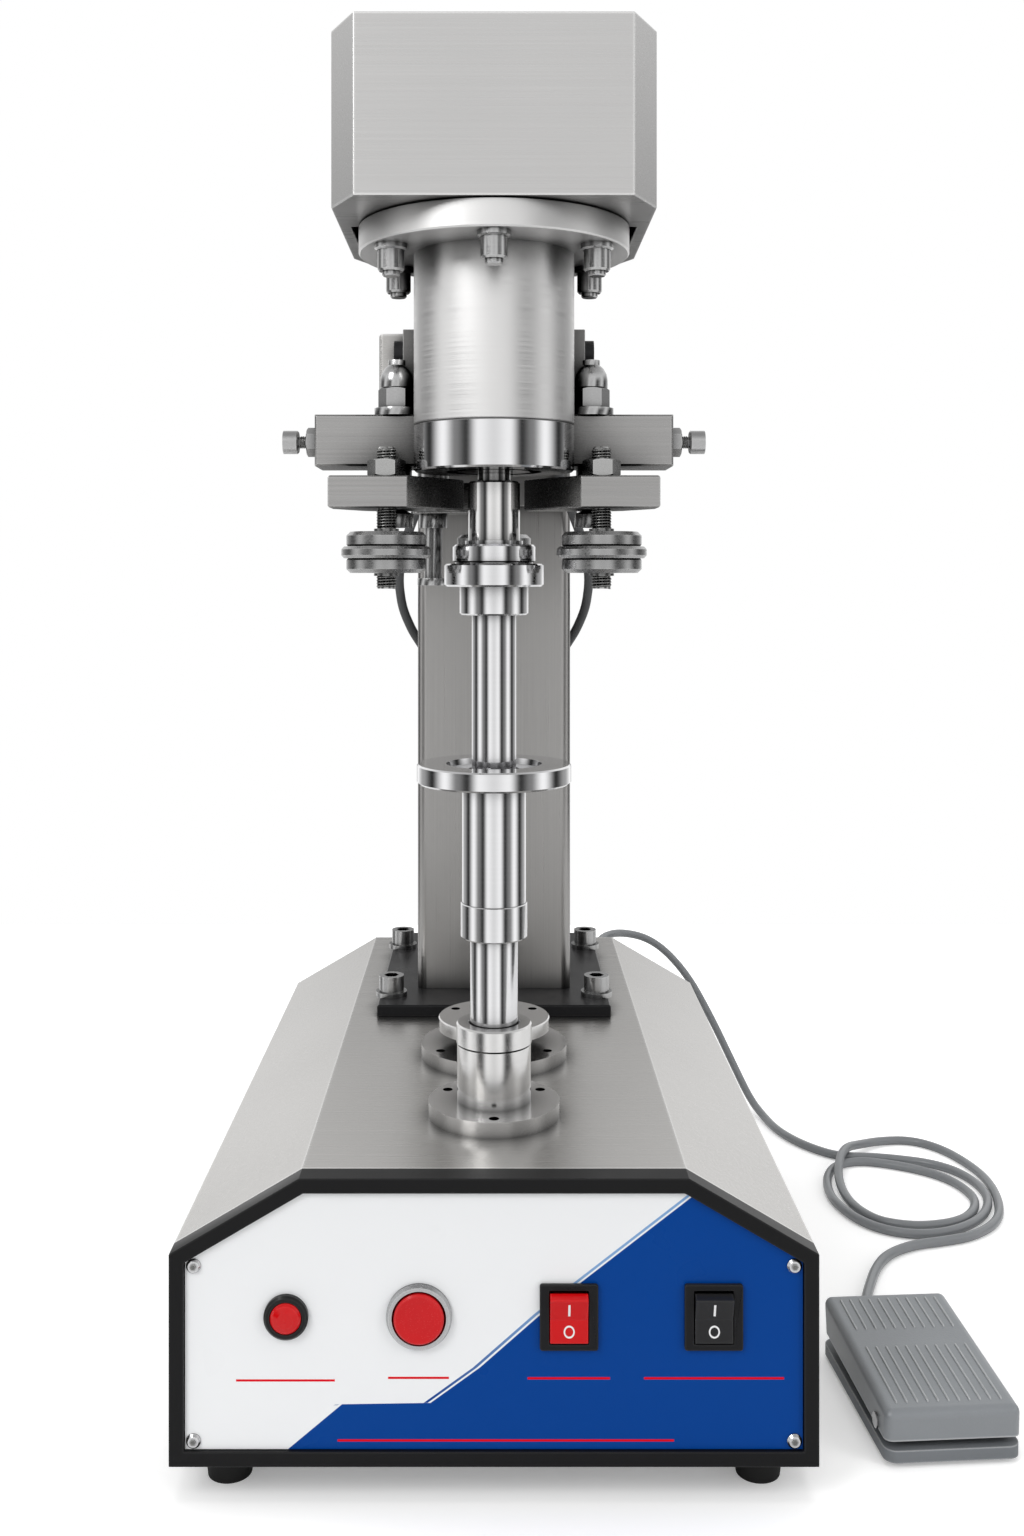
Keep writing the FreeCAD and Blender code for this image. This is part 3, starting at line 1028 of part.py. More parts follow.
def make_tube(name, points, radius):
    path = cord_wire(points, name)
    start = path.Edges[0]
    profile = Part.Wire(Part.Circle(start.valueAt(start.FirstParameter), start.tangentAt(start.FirstParameter),
                                    radius).toShape())
    shape = path.makePipeShell([profile], True, False)
    expected = math.pi * radius ** 2 * path.Length
    print(name, "length", round(path.Length, 1), "volume ratio", round(shape.Volume / expected, 4))
    feature = doc.addObject("Part::Feature", name)
    feature.Label = name
    feature.Shape = shape
    parts_made.append(feature)
    return feature


def make_cord():
    """Pedal cord: down from the gland, into a loose fanned coil, and on to the pedal."""
    radius = value("cord_radius")
    lying = radius + 0.2
    exit_x, exit_z = value("gland_offset"), value("gland_height")
    exit_y = value("base_length / 2 + gland_length")
    machine_run = [(exit_x, exit_y, exit_z), (exit_x + 3, exit_y + 22, exit_z + 3),
                   (exit_x + 21, exit_y + 43, exit_z + 4), (exit_x + 50, exit_y + 49, exit_z - 4),
                   (exit_x + 76, exit_y + 47, exit_z - 30), (exit_x + 96, exit_y + 43, exit_z - 66),
                   (exit_x + 113, exit_y + 36, exit_z - 102), (exit_x + 124, exit_y + 22, lying + 6),
                   (exit_x + 131, exit_y - 2, lying + 0.3), (exit_x + 136, exit_y - 28, lying),
                   (exit_x + 147, exit_y - 53, lying), (exit_x + 163, exit_y - 73, lying)]
    make_tube("pedal_cord", machine_run, radius)
    centre = Vector(value("coil_x"), value("coil_y"), 0.2)
    blocks = []
    for back, along, across in (("0", "coil_long", "coil_wide"),
                                ("coil_hole_back", "coil_hole_long", "coil_hole_wide")):
        middle = centre + Vector(0, value(back), 0)
        loop = Part.Wire(Part.Ellipse(middle, value(along), value(across)).toShape())
        loop.rotate(middle, Vector(0, 0, 1), 90)
        blocks.append(Part.Face(loop).extrude(Vector(0, 0, value("coil_height"))))
    outside, hole = blocks
    rims = [edge for edge in outside.Edges if edge.BoundBox.ZLength < 1e-6]
    coil = doc.addObject("Part::Feature", "cord_coil")
    coil.Label = "cord_coil"
    coil.Shape = outside.makeFillet(value("cord_radius - 0.5"), rims).cut(hole)
    parts_made.append(coil)
    turn = math.radians(value("pedal_turn"))
    relief = value("pedal_length / 2 + pedal_relief")
    end_x = value("pedal_x") - relief * math.sin(turn)
    end_y = value("pedal_y") + relief * math.cos(turn)
    pedal_run = [(centre.x - 11, centre.y - 82, lying), (centre.x - 32, centre.y - 96, lying),
                 (centre.x - 50, centre.y - 116, lying), (centre.x - 62, centre.y - 142, lying),
                 (end_x + 3.5, end_y + 36, lying), (end_x - 1.4, end_y + 16, value("pedal_relief_height") - 0.4),
                 (end_x, end_y, value("pedal_relief_height"))]
    make_tube("cord_tail", pedal_run, radius)


def make_head_cables():
    """Two cables from the arm's underside into the column's sides."""
    radius = value("cord_radius")
    top, side = value("arm_bottom"), value("column_width / 2")
    front = value(column_y)
    tubes = []
    for hand in (-1, 1):
        route = [(hand * 40, front - 26, top), (hand * 41, front - 25, top - 22), (hand * 50, front - 18, top - 44),
                 (hand * 59, front - 6, top - 66), (hand * 63, front + 9, top - 88),
                 (hand * 61, front + 20, top - 107), (hand * 55, front + 28, top - 122),
                 (hand * (side - 1), front + 34, top - 132)]
        path = cord_wire(route, "head_cable")
        start = path.Edges[0]
        profile = Part.Wire(Part.Circle(start.valueAt(start.FirstParameter), start.tangentAt(start.FirstParameter),
                                        radius).toShape())
        tubes.append(path.makePipeShell([profile], True, False))
    cables = doc.addObject("Part::Feature", "head_cables")
    cables.Label = "head_cables"
    cables.Shape = Part.makeCompound(tubes)
    parts_made.append(cables)


make_base_shell()
make_front_frame()
make_front_panel()
make_panel_screws()
make_rear_panel()
make_bottom_plate()
make_feet()
make_lamp()
make_start_button()
make_switch_frames()
make_rocker("power_rocker", "start_offset")
make_rocker("mode_rocker", "mode_offset")
make_rear_fittings()
make_lift_flange()
make_guide_flange()
make_lift()
make_lift_drive()
make_column()
make_head()
make_motor_cover()
make_head_arm()
make_switch_box()
make_crossbar()
make_spindle()
make_roller_arm("left", -1)
make_roller_arm("right", 1)
make_rear_arm()
make_roller_set("left", "-roller_x", "-roller_y", True)
make_roller_set("right", "roller_x", "-roller_y", True)
make_roller_set("rear", "0", "rear_roller_y", False)
make_pedal()
make_cord()
make_head_cables()

# Checks, then one STEP file for each sub-part
doc.recompute()
for thing in doc.Objects:
    if {"Invalid", "Error"} & set(thing.State):
        raise ValueError(f"{thing.Label} failed: {thing.State}")
os.makedirs("parts", exist_ok=True)
for thing in parts_made:
    if thing.Shape.isNull() or not thing.Shape.isValid():
        raise ValueError(f"{thing.Label} has no valid shape")
    thing.Shape.exportStep(f"parts/{thing.Label}.step")
print(len(parts_made), "parts")
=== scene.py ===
"""Visual model of a bench can seamer: finishes, cord, threads, marks and a plain studio round the CAD frame."""

import json
import logging
import math
from dataclasses import dataclass
from enum import Enum
from typing import Callable, Optional, Sequence, Union

import bmesh
import bpy
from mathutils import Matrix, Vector


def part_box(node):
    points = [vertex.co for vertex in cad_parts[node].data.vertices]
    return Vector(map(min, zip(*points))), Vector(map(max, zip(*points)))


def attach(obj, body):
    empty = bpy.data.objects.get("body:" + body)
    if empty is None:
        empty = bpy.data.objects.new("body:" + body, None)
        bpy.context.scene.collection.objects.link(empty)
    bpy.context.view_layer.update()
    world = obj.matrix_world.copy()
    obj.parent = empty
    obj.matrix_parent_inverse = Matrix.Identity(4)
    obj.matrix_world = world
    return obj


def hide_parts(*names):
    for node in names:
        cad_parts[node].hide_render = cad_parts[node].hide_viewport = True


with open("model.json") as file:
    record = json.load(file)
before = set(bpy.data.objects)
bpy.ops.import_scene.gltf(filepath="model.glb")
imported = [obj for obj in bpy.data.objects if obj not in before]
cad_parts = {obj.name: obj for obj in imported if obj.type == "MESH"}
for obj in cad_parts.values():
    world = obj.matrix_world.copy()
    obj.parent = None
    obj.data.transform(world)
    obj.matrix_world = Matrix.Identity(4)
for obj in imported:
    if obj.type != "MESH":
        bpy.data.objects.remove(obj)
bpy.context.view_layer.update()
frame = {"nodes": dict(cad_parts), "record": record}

log = logging.getLogger("can_seamer")
MM = 0.001
AXIS_Y = -146.0
# The near-white colour of the painted highlight along steel edges and folds.
EDGE_HIGHLIGHT = (0.98, 0.98, 0.97, 1.0)
DUST_TINT = (0.5, 0.48, 0.45, 1.0)
GRAIN_DEPTH = 0.0002
SKIN_DEPTH = 0.0003
Pair = tuple[float, float]
Point = tuple[float, float, float]
Node = bpy.types.Node
NodeSocket = bpy.types.NodeSocket
Socket = Union[NodeSocket, float, Sequence[float]]


class NodeSheet:
    """Adds and links shader nodes in one node tree."""

    def __init__(self, tree: bpy.types.NodeTree) -> None:
        """Keeps the tree that the nodes go in."""
        self.tree = tree

    def add(self, kind: str, inputs: Optional[dict[str, Socket]] = None, **settings: object) -> Node:
        """Adds one node.

        Args:
            kind: The node's type name.
            inputs: Values or sockets by input name.
            settings: The node's own properties.

        Returns:
            The new node.
        """
        node = self.tree.nodes.new(kind)
        for name, setting in settings.items():
            setattr(node, name, setting)
        for name, given in (inputs or {}).items():
            self.feed(given, node.inputs[name])
        return node

    def feed(self, given: Socket, target: NodeSocket) -> None:
        """Links a socket to an input, or sets the input to a plain value."""
        if isinstance(given, NodeSocket):
            self.tree.links.new(given, target)
        else:
            target.default_value = given

    def place(self) -> NodeSocket:
        """The place on the object, in metres."""
        return self.add("ShaderNodeTexCoord").outputs["Object"]

    def math(self, operation: str, first: Socket, second: Socket = 0.0, clamp: bool = False) -> NodeSocket:
        """One step of arithmetic.

        Args:
            operation: The Math node's operation.
            first: The first number.
            second: The second number.
            clamp: Whether the result is kept between 0 and 1.

        Returns:
            The result's socket.
        """
        node = self.add("ShaderNodeMath", operation=operation, use_clamp=clamp)
        self.feed(first, node.inputs[0])
        self.feed(second, node.inputs[1])
        return node.outputs[0]

    def mix(self, factor: Socket, first: Socket, second: Socket) -> NodeSocket:
        """Mixes two colours.

        Args:
            factor: The share of the second colour.
            first: The first colour.
            second: The second colour.

        Returns:
            The mixed colour's socket.
        """
        node = self.add("ShaderNodeMix", data_type="RGBA", blend_type="MIX")
        self.feed(factor, node.inputs[0])
        self.feed(first, node.inputs[6])
        self.feed(second, node.inputs[7])
        return node.outputs[2]

    def between(self, factor: Socket, first: Socket, second: Socket) -> NodeSocket:
        """Mixes two numbers, given the share of the second."""
        node = self.add("ShaderNodeMix", data_type="FLOAT", factor_mode="UNIFORM")
        for index, given in ((0, factor), (2, first), (3, second)):
            self.feed(given, node.inputs[index])
        return node.outputs[0]

    def scaled(self, source: Socket, low: float, high: float, to_low: float = 0.0,
               to_high: float = 1.0) -> NodeSocket:
        """Maps a range of values to another range, clamped.

        Args:
            source: The value to map.
            low: The source range's low end.
            high: The source range's high end.
            to_low: The value at the low end.
            to_high: The value at the high end.

        Returns:
            The mapped value's socket.
        """
        node = self.add("ShaderNodeMapRange", {"Value": source, "From Min": low, "From Max": high,
                                               "To Min": to_low, "To Max": to_high})
        return node.outputs["Result"]


class ShaderGroup:
    """A node group that several materials use, built once."""

    def __init__(self, name: str, inputs: dict[str, float], outputs: Sequence[str],
                 body: Callable[[NodeSheet, Node, Node], None]) -> None:
        """Builds the group.

        Args:
            name: The group's name.
            inputs: Number inputs with their defaults.
            outputs: Names of the number outputs.
            body: Fills the group, given its sheet, input node and output node.
        """
        tree = bpy.data.node_groups.new(name, "ShaderNodeTree")
        for label, default in inputs.items():
            socket = tree.interface.new_socket(label, in_out="INPUT", socket_type="NodeSocketFloat")
            socket.default_value = default
        for label in outputs:
            tree.interface.new_socket(label, in_out="OUTPUT", socket_type="NodeSocketFloat")
        sheet = NodeSheet(tree)
        body(sheet, sheet.add("NodeGroupInput"), sheet.add("NodeGroupOutput"))
        self.tree = tree

    def use(self, sheet: NodeSheet, **values: float) -> Node:
        """Places the group in a material.

        Args:
            sheet: The material's node sheet.
            values: The group's inputs, with _ for each space.

        Returns:
            The group's node.
        """
        node = sheet.add("ShaderNodeGroup", node_tree=self.tree)
        for label, given in values.items():
            node.inputs[label.replace("_", " ")].default_value = given
        return node


def fill_brushed(sheet: NodeSheet, given: Node, result: Node) -> None:
    """Long fine streaks: noise that is squeezed across the brushing direction."""
    place = sheet.place()
    squeeze = sheet.add("ShaderNodeCombineXYZ", {"X": given.outputs["Along X"], "Y": given.outputs["Along Y"],
                                                 "Z": given.outputs["Along Z"]})
    stretched = sheet.add("ShaderNodeVectorMath", operation="MULTIPLY")
    sheet.feed(place, stretched.inputs[0])
    sheet.feed(squeeze.outputs[0], stretched.inputs[1])
    fine = sheet.add("ShaderNodeTexNoise", {"Vector": stretched.outputs[0], "Scale": 1.0, "Detail": 5.0,
                                            "Roughness": 0.7})
    sheet.feed(fine.outputs["Fac"], result.inputs["Streak"])
    cloud = sheet.add("ShaderNodeTexNoise", {"Vector": place, "Scale": 9.0, "Detail": 2.0})
    sheet.feed(cloud.outputs["Fac"], result.inputs["Cloud"])


def fill_turned(sheet: NodeSheet, given: Node, result: Node) -> None:
    """Lathe marks: noise of the height and of the distance from an upright axis."""
    place = sheet.place()
    apart = sheet.add("ShaderNodeSeparateXYZ", {"Vector": place})
    away_x = sheet.math("SUBTRACT", apart.outputs["X"], given.outputs["Axis X"])
    away_y = sheet.math("SUBTRACT", apart.outputs["Y"], given.outputs["Axis Y"])
    squares = sheet.math("ADD", sheet.math("MULTIPLY", away_x, away_x), sheet.math("MULTIPLY", away_y, away_y))
    distance = sheet.math("SQRT", squares)
    ring = sheet.add("ShaderNodeCombineXYZ", {"X": distance, "Y": apart.outputs["Z"]})
    fine = sheet.add("ShaderNodeTexNoise", {"Vector": ring.outputs[0], "Scale": given.outputs["Fineness"],
                                            "Detail": 4.0, "Roughness": 0.65})
    sheet.feed(fine.outputs["Fac"], result.inputs["Streak"])
    sheet.feed(distance, result.inputs["Distance"])
    cloud = sheet.add("ShaderNodeTexNoise", {"Vector": place, "Scale": 18.0, "Detail": 2.0})
    sheet.feed(cloud.outputs["Fac"], result.inputs["Cloud"])


def fill_peel(sheet: NodeSheet, given: Node, result: Node) -> None:
    """The skin of paint or moulded plastic: small bumps, sparse specks and broad cloudiness."""
    place = sheet.place()
    bumps = sheet.add("ShaderNodeTexNoise", {"Vector": place, "Scale": given.outputs["Fineness"], "Detail": 3.0})
    sheet.feed(bumps.outputs["Fac"], result.inputs["Bumps"])
    cells = sheet.add("ShaderNodeTexVoronoi", {"Vector": place, "Scale": given.outputs["Speck Scale"]})
    sheet.feed(sheet.scaled(cells.outputs["Distance"], 0.1, 0.22, 1.0, 0.0), result.inputs["Specks"])
    cloud = sheet.add("ShaderNodeTexNoise", {"Vector": place, "Scale": 22.0, "Detail": 3.0})
    sheet.feed(cloud.outputs["Fac"], result.inputs["Cloud"])


def fill_dust(sheet: NodeSheet, given: Node, result: Node) -> None:
    """Dust that lies in patches on the faces that look up."""
    upward = sheet.add("ShaderNodeSeparateXYZ", {"Vector": sheet.add("ShaderNodeNewGeometry").outputs["Normal"]})
    facing = sheet.scaled(upward.outputs["Z"], 0.4, 1.0)
    place = sheet.place()
    patches = sheet.add("ShaderNodeTexNoise", {"Vector": place, "Scale": 60.0, "Detail": 4.0})
    spread = sheet.scaled(patches.outputs["Fac"], 0.35, 0.75)
    amount = sheet.math("MULTIPLY", sheet.math("MULTIPLY", facing, spread), given.outputs["Amount"], clamp=True)
    sheet.feed(amount, result.inputs["Dust"])


def fill_painted_shade(sheet: NodeSheet, given: Node, result: Node) -> None:
    """Painted shade mask from ambient occlusion: 0 in the open, rising in corners, seams and grooves, where the
    colour is darkened as painted shade.
    """
    nearby = sheet.add("ShaderNodeAmbientOcclusion", {"Distance": given.outputs["Reach"]}, samples=8)
    sheet.feed(sheet.scaled(nearby.outputs["AO"], 0.3, 0.92, 1.0, 0.0), result.inputs["Crevice"])


def fill_edges(sheet: NodeSheet, given: Node, result: Node) -> None:
    """Where a sharp edge or fold runs: the true normal leaves a widely rounded one. The mask for the painted
    highlight along edges and folds.
    """
    rounded = sheet.add("ShaderNodeBevel", {"Radius": given.outputs["Width"]}, samples=6)
    plain = sheet.add("ShaderNodeNewGeometry")
    agree = sheet.add("ShaderNodeVectorMath", operation="DOT_PRODUCT")
    sheet.feed(rounded.outputs["Normal"], agree.inputs[0])
    sheet.feed(plain.outputs["Normal"], agree.inputs[1])
    sheet.feed(sheet.scaled(agree.outputs["Value"], 0.93, 0.998, 1.0, 0.0), result.inputs["Edge"])


EDGES = ShaderGroup("edge_light", {"Width": 0.001}, ["Edge"], fill_edges)
PAINTED_SHADE = ShaderGroup("painted_corner_shade", {"Reach": 0.012}, ["Crevice"], fill_painted_shade)
BRUSHED = ShaderGroup("brushed_grain", {"Along X": 40.0, "Along Y": 40.0, "Along Z": 40.0},
                      ["Streak", "Cloud"], fill_brushed)
TURNED = ShaderGroup("turned_grain", {"Axis X": 0.0, "Axis Y": 0.0, "Fineness": 900.0},
                     ["Streak", "Cloud", "Distance"], fill_turned)
PEEL = ShaderGroup("moulded_skin", {"Fineness": 900.0, "Speck Scale": 600.0},
                   ["Bumps", "Specks", "Cloud"], fill_peel)
DUST = ShaderGroup("settled_dust", {"Amount": 0.2}, ["Dust"], fill_dust)


def new_material(name: str) -> tuple[bpy.types.Material, NodeSheet, Node]:
    """Makes a material with only its shader.

    Args:
        name: The material's name.

    Returns:
        The material, its node sheet and its Principled BSDF.
    """
    for imported in [old for old in bpy.data.materials if old.name == name]:
        imported.name = f"{name}_cad"
    material = bpy.data.materials.new(name)
    material.use_nodes = True
    material.node_tree.nodes.clear()
    sheet = NodeSheet(material.node_tree)
    shader = sheet.add("ShaderNodeBsdfPrincipled")
    output = sheet.add("ShaderNodeOutputMaterial")
    sheet.feed(shader.outputs["BSDF"], output.inputs["Surface"])
    return material, sheet, shader


def shaded(tint: Point, factor: float) -> list[float]:
    """A colour made lighter or darker."""
    return [min(1.0, part * factor) for part in tint] + [1.0]


def link_new(name: str, data: bpy.types.ID) -> bpy.types.Object:
    """Makes an object of the data and puts it in the scene."""
    made = bpy.data.objects.new(name, data)
    bpy.context.scene.collection.objects.link(made)
    return made


def raise_bumps(sheet: NodeSheet, shader: Node, height: Socket, strength: float, depth: float) -> None:
    """Feeds a height to a shader's normal.

    Args:
        sheet: The material's node sheet.
        shader: The Principled BSDF.
        height: The height's socket.
        strength: The Bump node's strength.
        depth: The bumps' depth in metres.
    """
    bump = sheet.add("ShaderNodeBump", {"Height": height, "Strength": strength, "Distance": depth})
    sheet.feed(bump.outputs["Normal"], shader.inputs["Normal"])


class Grain(Enum):
    """The way a metal was finished."""

    ALONG_X = (4.0, 900.0, 1400.0)
    ALONG_Y = (900.0, 4.0, 900.0)
    ALONG_Z = (1100.0, 900.0, 5.0)
    TURNED = ()


@dataclass(frozen=True)
class Steel:
    """Bare metal with a brushed or turned grain, with painted shade in its corners and a painted highlight along its
    edges.

    A turned part may be polished: within a distance of its axis above one level, and wholly below another.
    """

    name: str
    tint: Point
    roughness: float
    grain: Grain
    streak: float = 0.12
    cloud: float = 0.06
    bump: float = 0.12
    axis: Pair = (0.0, AXIS_Y * MM)
    fineness: float = 900.0
    # How much of the painted edge highlight brushed steel takes; turned steel takes turned_edge_share.
    edge_share: float = 0.7
    turned_edge_share: float = 0.21
    edge_width: float = 0.0009
    # How dark the painted shade in corners, seams and grooves makes the colour, as a share of the tint.
    painted_shade_factor: float = 0.12
    reach: float = 0.012
    polish_within: float = 0.0
    polish_above: float = 0.33
    polish_below: float = 0.25
    polish_low_share: float = 0.75
    polished_roughness: float = 0.25

    def polish(self, sheet: NodeSheet, distance: NodeSocket) -> NodeSocket:
        """Where the part is polished.

        Args:
            sheet: The material's node sheet.
            distance: The distance from the part's axis.

        Returns:
            A mask's socket: 1 where it is polished.
        """
        height = sheet.add("ShaderNodeSeparateXYZ", {0: sheet.place()}).outputs["Z"]
        near = sheet.scaled(distance, self.polish_within - MM, self.polish_within, 1.0, 0.0)
        high = sheet.math("MULTIPLY", near, sheet.scaled(height, self.polish_above, self.polish_above + MM))
        low = sheet.scaled(height, self.polish_below, self.polish_below + MM, self.polish_low_share, 0.0)
        return sheet.math("MAXIMUM", high, low)

    def build(self) -> bpy.types.Material:
        """Makes the material."""
        material, sheet, shader = new_material(self.name)
        if self.grain is Grain.TURNED:
            marks = TURNED.use(sheet, Axis_X=self.axis[0], Axis_Y=self.axis[1], Fineness=self.fineness)
        else:
            along = self.grain.value
            marks = BRUSHED.use(sheet, Along_X=along[0], Along_Y=along[1], Along_Z=along[2])
        light, dark = shaded(self.tint, 1 + self.streak), shaded(self.tint, 1 - self.streak)
        streaked = sheet.mix(sheet.scaled(marks.outputs["Streak"], 0.3, 0.7), dark, light)
        smoky = shaded(self.tint, 1 - 2 * self.cloud)
        soft = sheet.scaled(marks.outputs["Cloud"], 0.35, 0.75, 0.0, 0.6)
        # Painted shade: in corners, seams and grooves the colour is darkened towards this, by ambient occlusion.
        painted_shade_colour = shaded(self.tint, self.painted_shade_factor)
        painted_corner_shade = PAINTED_SHADE.use(sheet, Reach=self.reach)
        # Painted highlight: sharp edges and folds are mixed towards near-white, standing in for the bright line a
        # rounded fold catches from overhead light.
        edge = EDGES.use(sheet, Width=self.edge_width)
        share = self.turned_edge_share if self.grain is Grain.TURNED else self.edge_share
        bright = sheet.math("MULTIPLY", edge.outputs["Edge"], share)
        edge_highlighted = sheet.mix(bright, sheet.mix(soft, streaked, smoky), EDGE_HIGHLIGHT)
        # The painted shade goes over the grain and the painted edge highlight.
        sheet.feed(sheet.mix(painted_corner_shade.outputs["Crevice"], edge_highlighted, painted_shade_colour), shader.inputs["Base Color"])
        rough = sheet.scaled(marks.outputs["Streak"], 0.25, 0.75, self.roughness * 0.75, self.roughness * 1.3)
        if self.polish_within > 0:
            polished = self.polish(sheet, marks.outputs["Distance"])
            rough = sheet.math("MULTIPLY", rough, sheet.scaled(polished, 0.0, 1.0, 1.0, self.polished_roughness))
        sheet.feed(rough, shader.inputs["Roughness"])
        shader.inputs["Metallic"].default_value = 1.0
        raise_bumps(sheet, shader, marks.outputs["Streak"], self.bump, GRAIN_DEPTH)
        return material


@dataclass(frozen=True)
class Skin:
    """Paint, rubber or moulded plastic, with a painted highlight along its edges."""

    name: str
    tint: Point
    roughness: float
    speck: Point = (0.0, 0.0, 0.0)
    speck_share: float = 0.0
    cloud: float = 0.12
    bump: float = 0.1
    fineness: float = 900.0
    coat: float = 0.0
    dust: float = 0.15
    glow: float = 0.0
    shine: float = 0.16
    edge_width: float = 0.0012
    # How far the painted edge highlight lifts the colour towards white.
    edge_lift: float = 0.02
    coat_roughness: float = 0.08

    def build(self) -> bpy.types.Material:
        """Makes the material."""
        material, sheet, shader = new_material(self.name)
        skin = PEEL.use(sheet, Fineness=self.fineness, Speck_Scale=self.fineness * 0.7)
        plain, darker = [*self.tint, 1.0], shaded(self.tint, 1 - self.cloud)
        colour = sheet.mix(sheet.scaled(skin.outputs["Cloud"], 0.3, 0.7), plain, darker)
        specks = sheet.math("MULTIPLY", skin.outputs["Specks"], self.speck_share)
        colour = sheet.mix(specks, colour, [*self.speck, 1.0])
        # Painted highlight: edges and rims are lifted towards white, standing in for the highlight they catch from
        # overhead light.
        edge = EDGES.use(sheet, Width=self.edge_width)
        edge_highlighted = [part + self.edge_lift * (1 - part) for part in self.tint] + [1.0]
        colour = sheet.mix(edge.outputs["Edge"], colour, edge_highlighted)
        dusty = DUST.use(sheet, Amount=self.dust)
        colour = sheet.mix(dusty.outputs["Dust"], colour, DUST_TINT)
        sheet.feed(colour, shader.inputs["Base Color"])
        rough = sheet.scaled(skin.outputs["Cloud"], 0.3, 0.7, self.roughness * 0.88, self.roughness * 1.12)
        sheet.feed(rough, shader.inputs["Roughness"])
        shader.inputs["Specular IOR Level"].default_value = self.shine
        shader.inputs["Coat Weight"].default_value = self.coat
        shader.inputs["Coat Roughness"].default_value = self.coat_roughness
        if self.glow:
            sheet.feed(colour, shader.inputs["Emission Color"])
            shader.inputs["Emission Strength"].default_value = self.glow
        raise_bumps(sheet, shader, skin.outputs["Bumps"], self.bump, SKIN_DEPTH)
        return material


@dataclass(frozen=True)
class Printed:
    """The front panel's print: generic fields and rules with no wording, drawn by distances in the panel's plane."""

    name: str
    white: Point = (0.86, 0.87, 0.88)
    blue: Point = (0.0, 0.05, 0.27)
    pale: Point = (0.33, 0.55, 0.83)
    red: Point = (0.7, 0.0, 0.01)
    edge: tuple[Pair, ...] = (
        (94.0, 142.8), (38.6, 100.1), (21.3, 86.3), (-6.5, 62.0), (-29.6, 45.2), (-70.0, 45.2), (-101.2, 19.3),
    )
    reach: float = 160.0
    run_out: Pair = (24.0, 22.0)
    step: float = 0.25
    blur: float = 0.00015
    band: Pair = (-3.2, -1.3)
    band_levels: tuple[float, float, float] = (44.0, 46.0, 95.0)
    rule_half: Pair = (0.45, 0.62)
    rule_blur: float = 0.1
    shine: float = 0.08
    bump: float = 0.04
    rules: tuple[tuple[float, float, float], ...] = (
        (-119.2, -73.5, 56.0), (-49.0, -20.8, 57.2), (15.5, 53.6, 57.0), (69.3, 134.0, 57.0), (-72.3, 83.2, 28.3),
    )

    def field_mask(self, sheet: NodeSheet, across: Socket, height: Socket, shift: float) -> NodeSocket:
        """The region to the right of the stepped edge.

        Args:
            sheet: The material's node sheet.
            across: The X socket in metres.
            height: The Z socket in metres.
            shift: How far the edge is moved towards +X, in mm.

        Returns:
            A mask's socket: 1 in the region.
        """
        curve = sheet.add("ShaderNodeFloatCurve")
        line = curve.mapping.curves[0]
        steps = sorted((z, x) for x, z in self.edge)
        places = [(0.0, steps[0][1] - self.run_out[0])]
        for z, x in steps:
            if places[-1][0] >= z:
                z = places[-1][0] + self.step
            places.append((z, x))
        places.append((self.reach, steps[-1][1] + self.run_out[1]))
        for index, (z, x) in enumerate(places):
            spot = (z / self.reach, (x + self.reach) / (2 * self.reach))
            if index in (0, 1):
                point = line.points[index]
                point.location = spot
            else:
                point = line.points.new(*spot)
            point.handle_type = "VECTOR"
        curve.mapping.update()
        sheet.feed(sheet.math("DIVIDE", height, self.reach * MM), curve.inputs["Value"])
        limit = sheet.math("SUBTRACT", sheet.math("MULTIPLY", curve.outputs[0], 2 * self.reach * MM),
                           (self.reach - shift) * MM)
        past = sheet.math("SUBTRACT", across, limit)
        return sheet.scaled(past, -self.blur, self.blur)

    def build(self) -> bpy.types.Material:
        """Makes the material."""
        material, sheet, shader = new_material(self.name)
        place = sheet.place()
        apart = sheet.add("ShaderNodeSeparateXYZ", {"Vector": place})
        across, height = apart.outputs["X"], apart.outputs["Z"]
        field_on = self.field_mask(sheet, across, height, 0.0)
        band_on = self.field_mask(sheet, across, height, self.band[0])
        gap_on = self.field_mask(sheet, across, height, self.band[1])
        start, full, faded = (level * MM for level in self.band_levels)
        upper = sheet.scaled(height, start, full)
        lower = sheet.scaled(height, full, faded, 1.0, 0.35)
        pale = sheet.mix(lower, (*self.pale, 1.0), (*self.blue, 1.0))
        only_band = sheet.math("MULTIPLY", sheet.math("SUBTRACT", band_on, gap_on, clamp=True), upper)
        colour = sheet.mix(only_band, (*self.white, 1.0), pale)
        colour = sheet.mix(field_on, colour, (*self.blue, 1.0))
        blur, (thin, wide) = self.rule_blur, self.rule_half
        for start, end, level in self.rules:
            inside = sheet.math("MULTIPLY", sheet.scaled(across, (start - blur) * MM, (start + blur) * MM),
                                sheet.scaled(across, (end - blur) * MM, (end + blur) * MM, 1.0, 0.0))
            level_on = sheet.math("MULTIPLY", sheet.scaled(height, (level - wide) * MM, (level - thin) * MM),
                                  sheet.scaled(height, (level + thin) * MM, (level + wide) * MM, 1.0, 0.0))
            colour = sheet.mix(sheet.math("MULTIPLY", inside, level_on), colour, (*self.red, 1.0))
        sheet.feed(colour, shader.inputs["Base Color"])
        shader.inputs["Specular IOR Level"].default_value = self.shine
        skin = PEEL.use(sheet, Fineness=300.0, Speck_Scale=200.0)
        sheet.feed(sheet.scaled(skin.outputs["Cloud"], 0.3, 0.7, 0.26, 0.36), shader.inputs["Roughness"])
        raise_bumps(sheet, shader, skin.outputs["Bumps"], self.bump, SKIN_DEPTH)
        return material


Finish = Union[Steel, Skin, Printed]
CHROME: Point = (0.78, 0.78, 0.79)

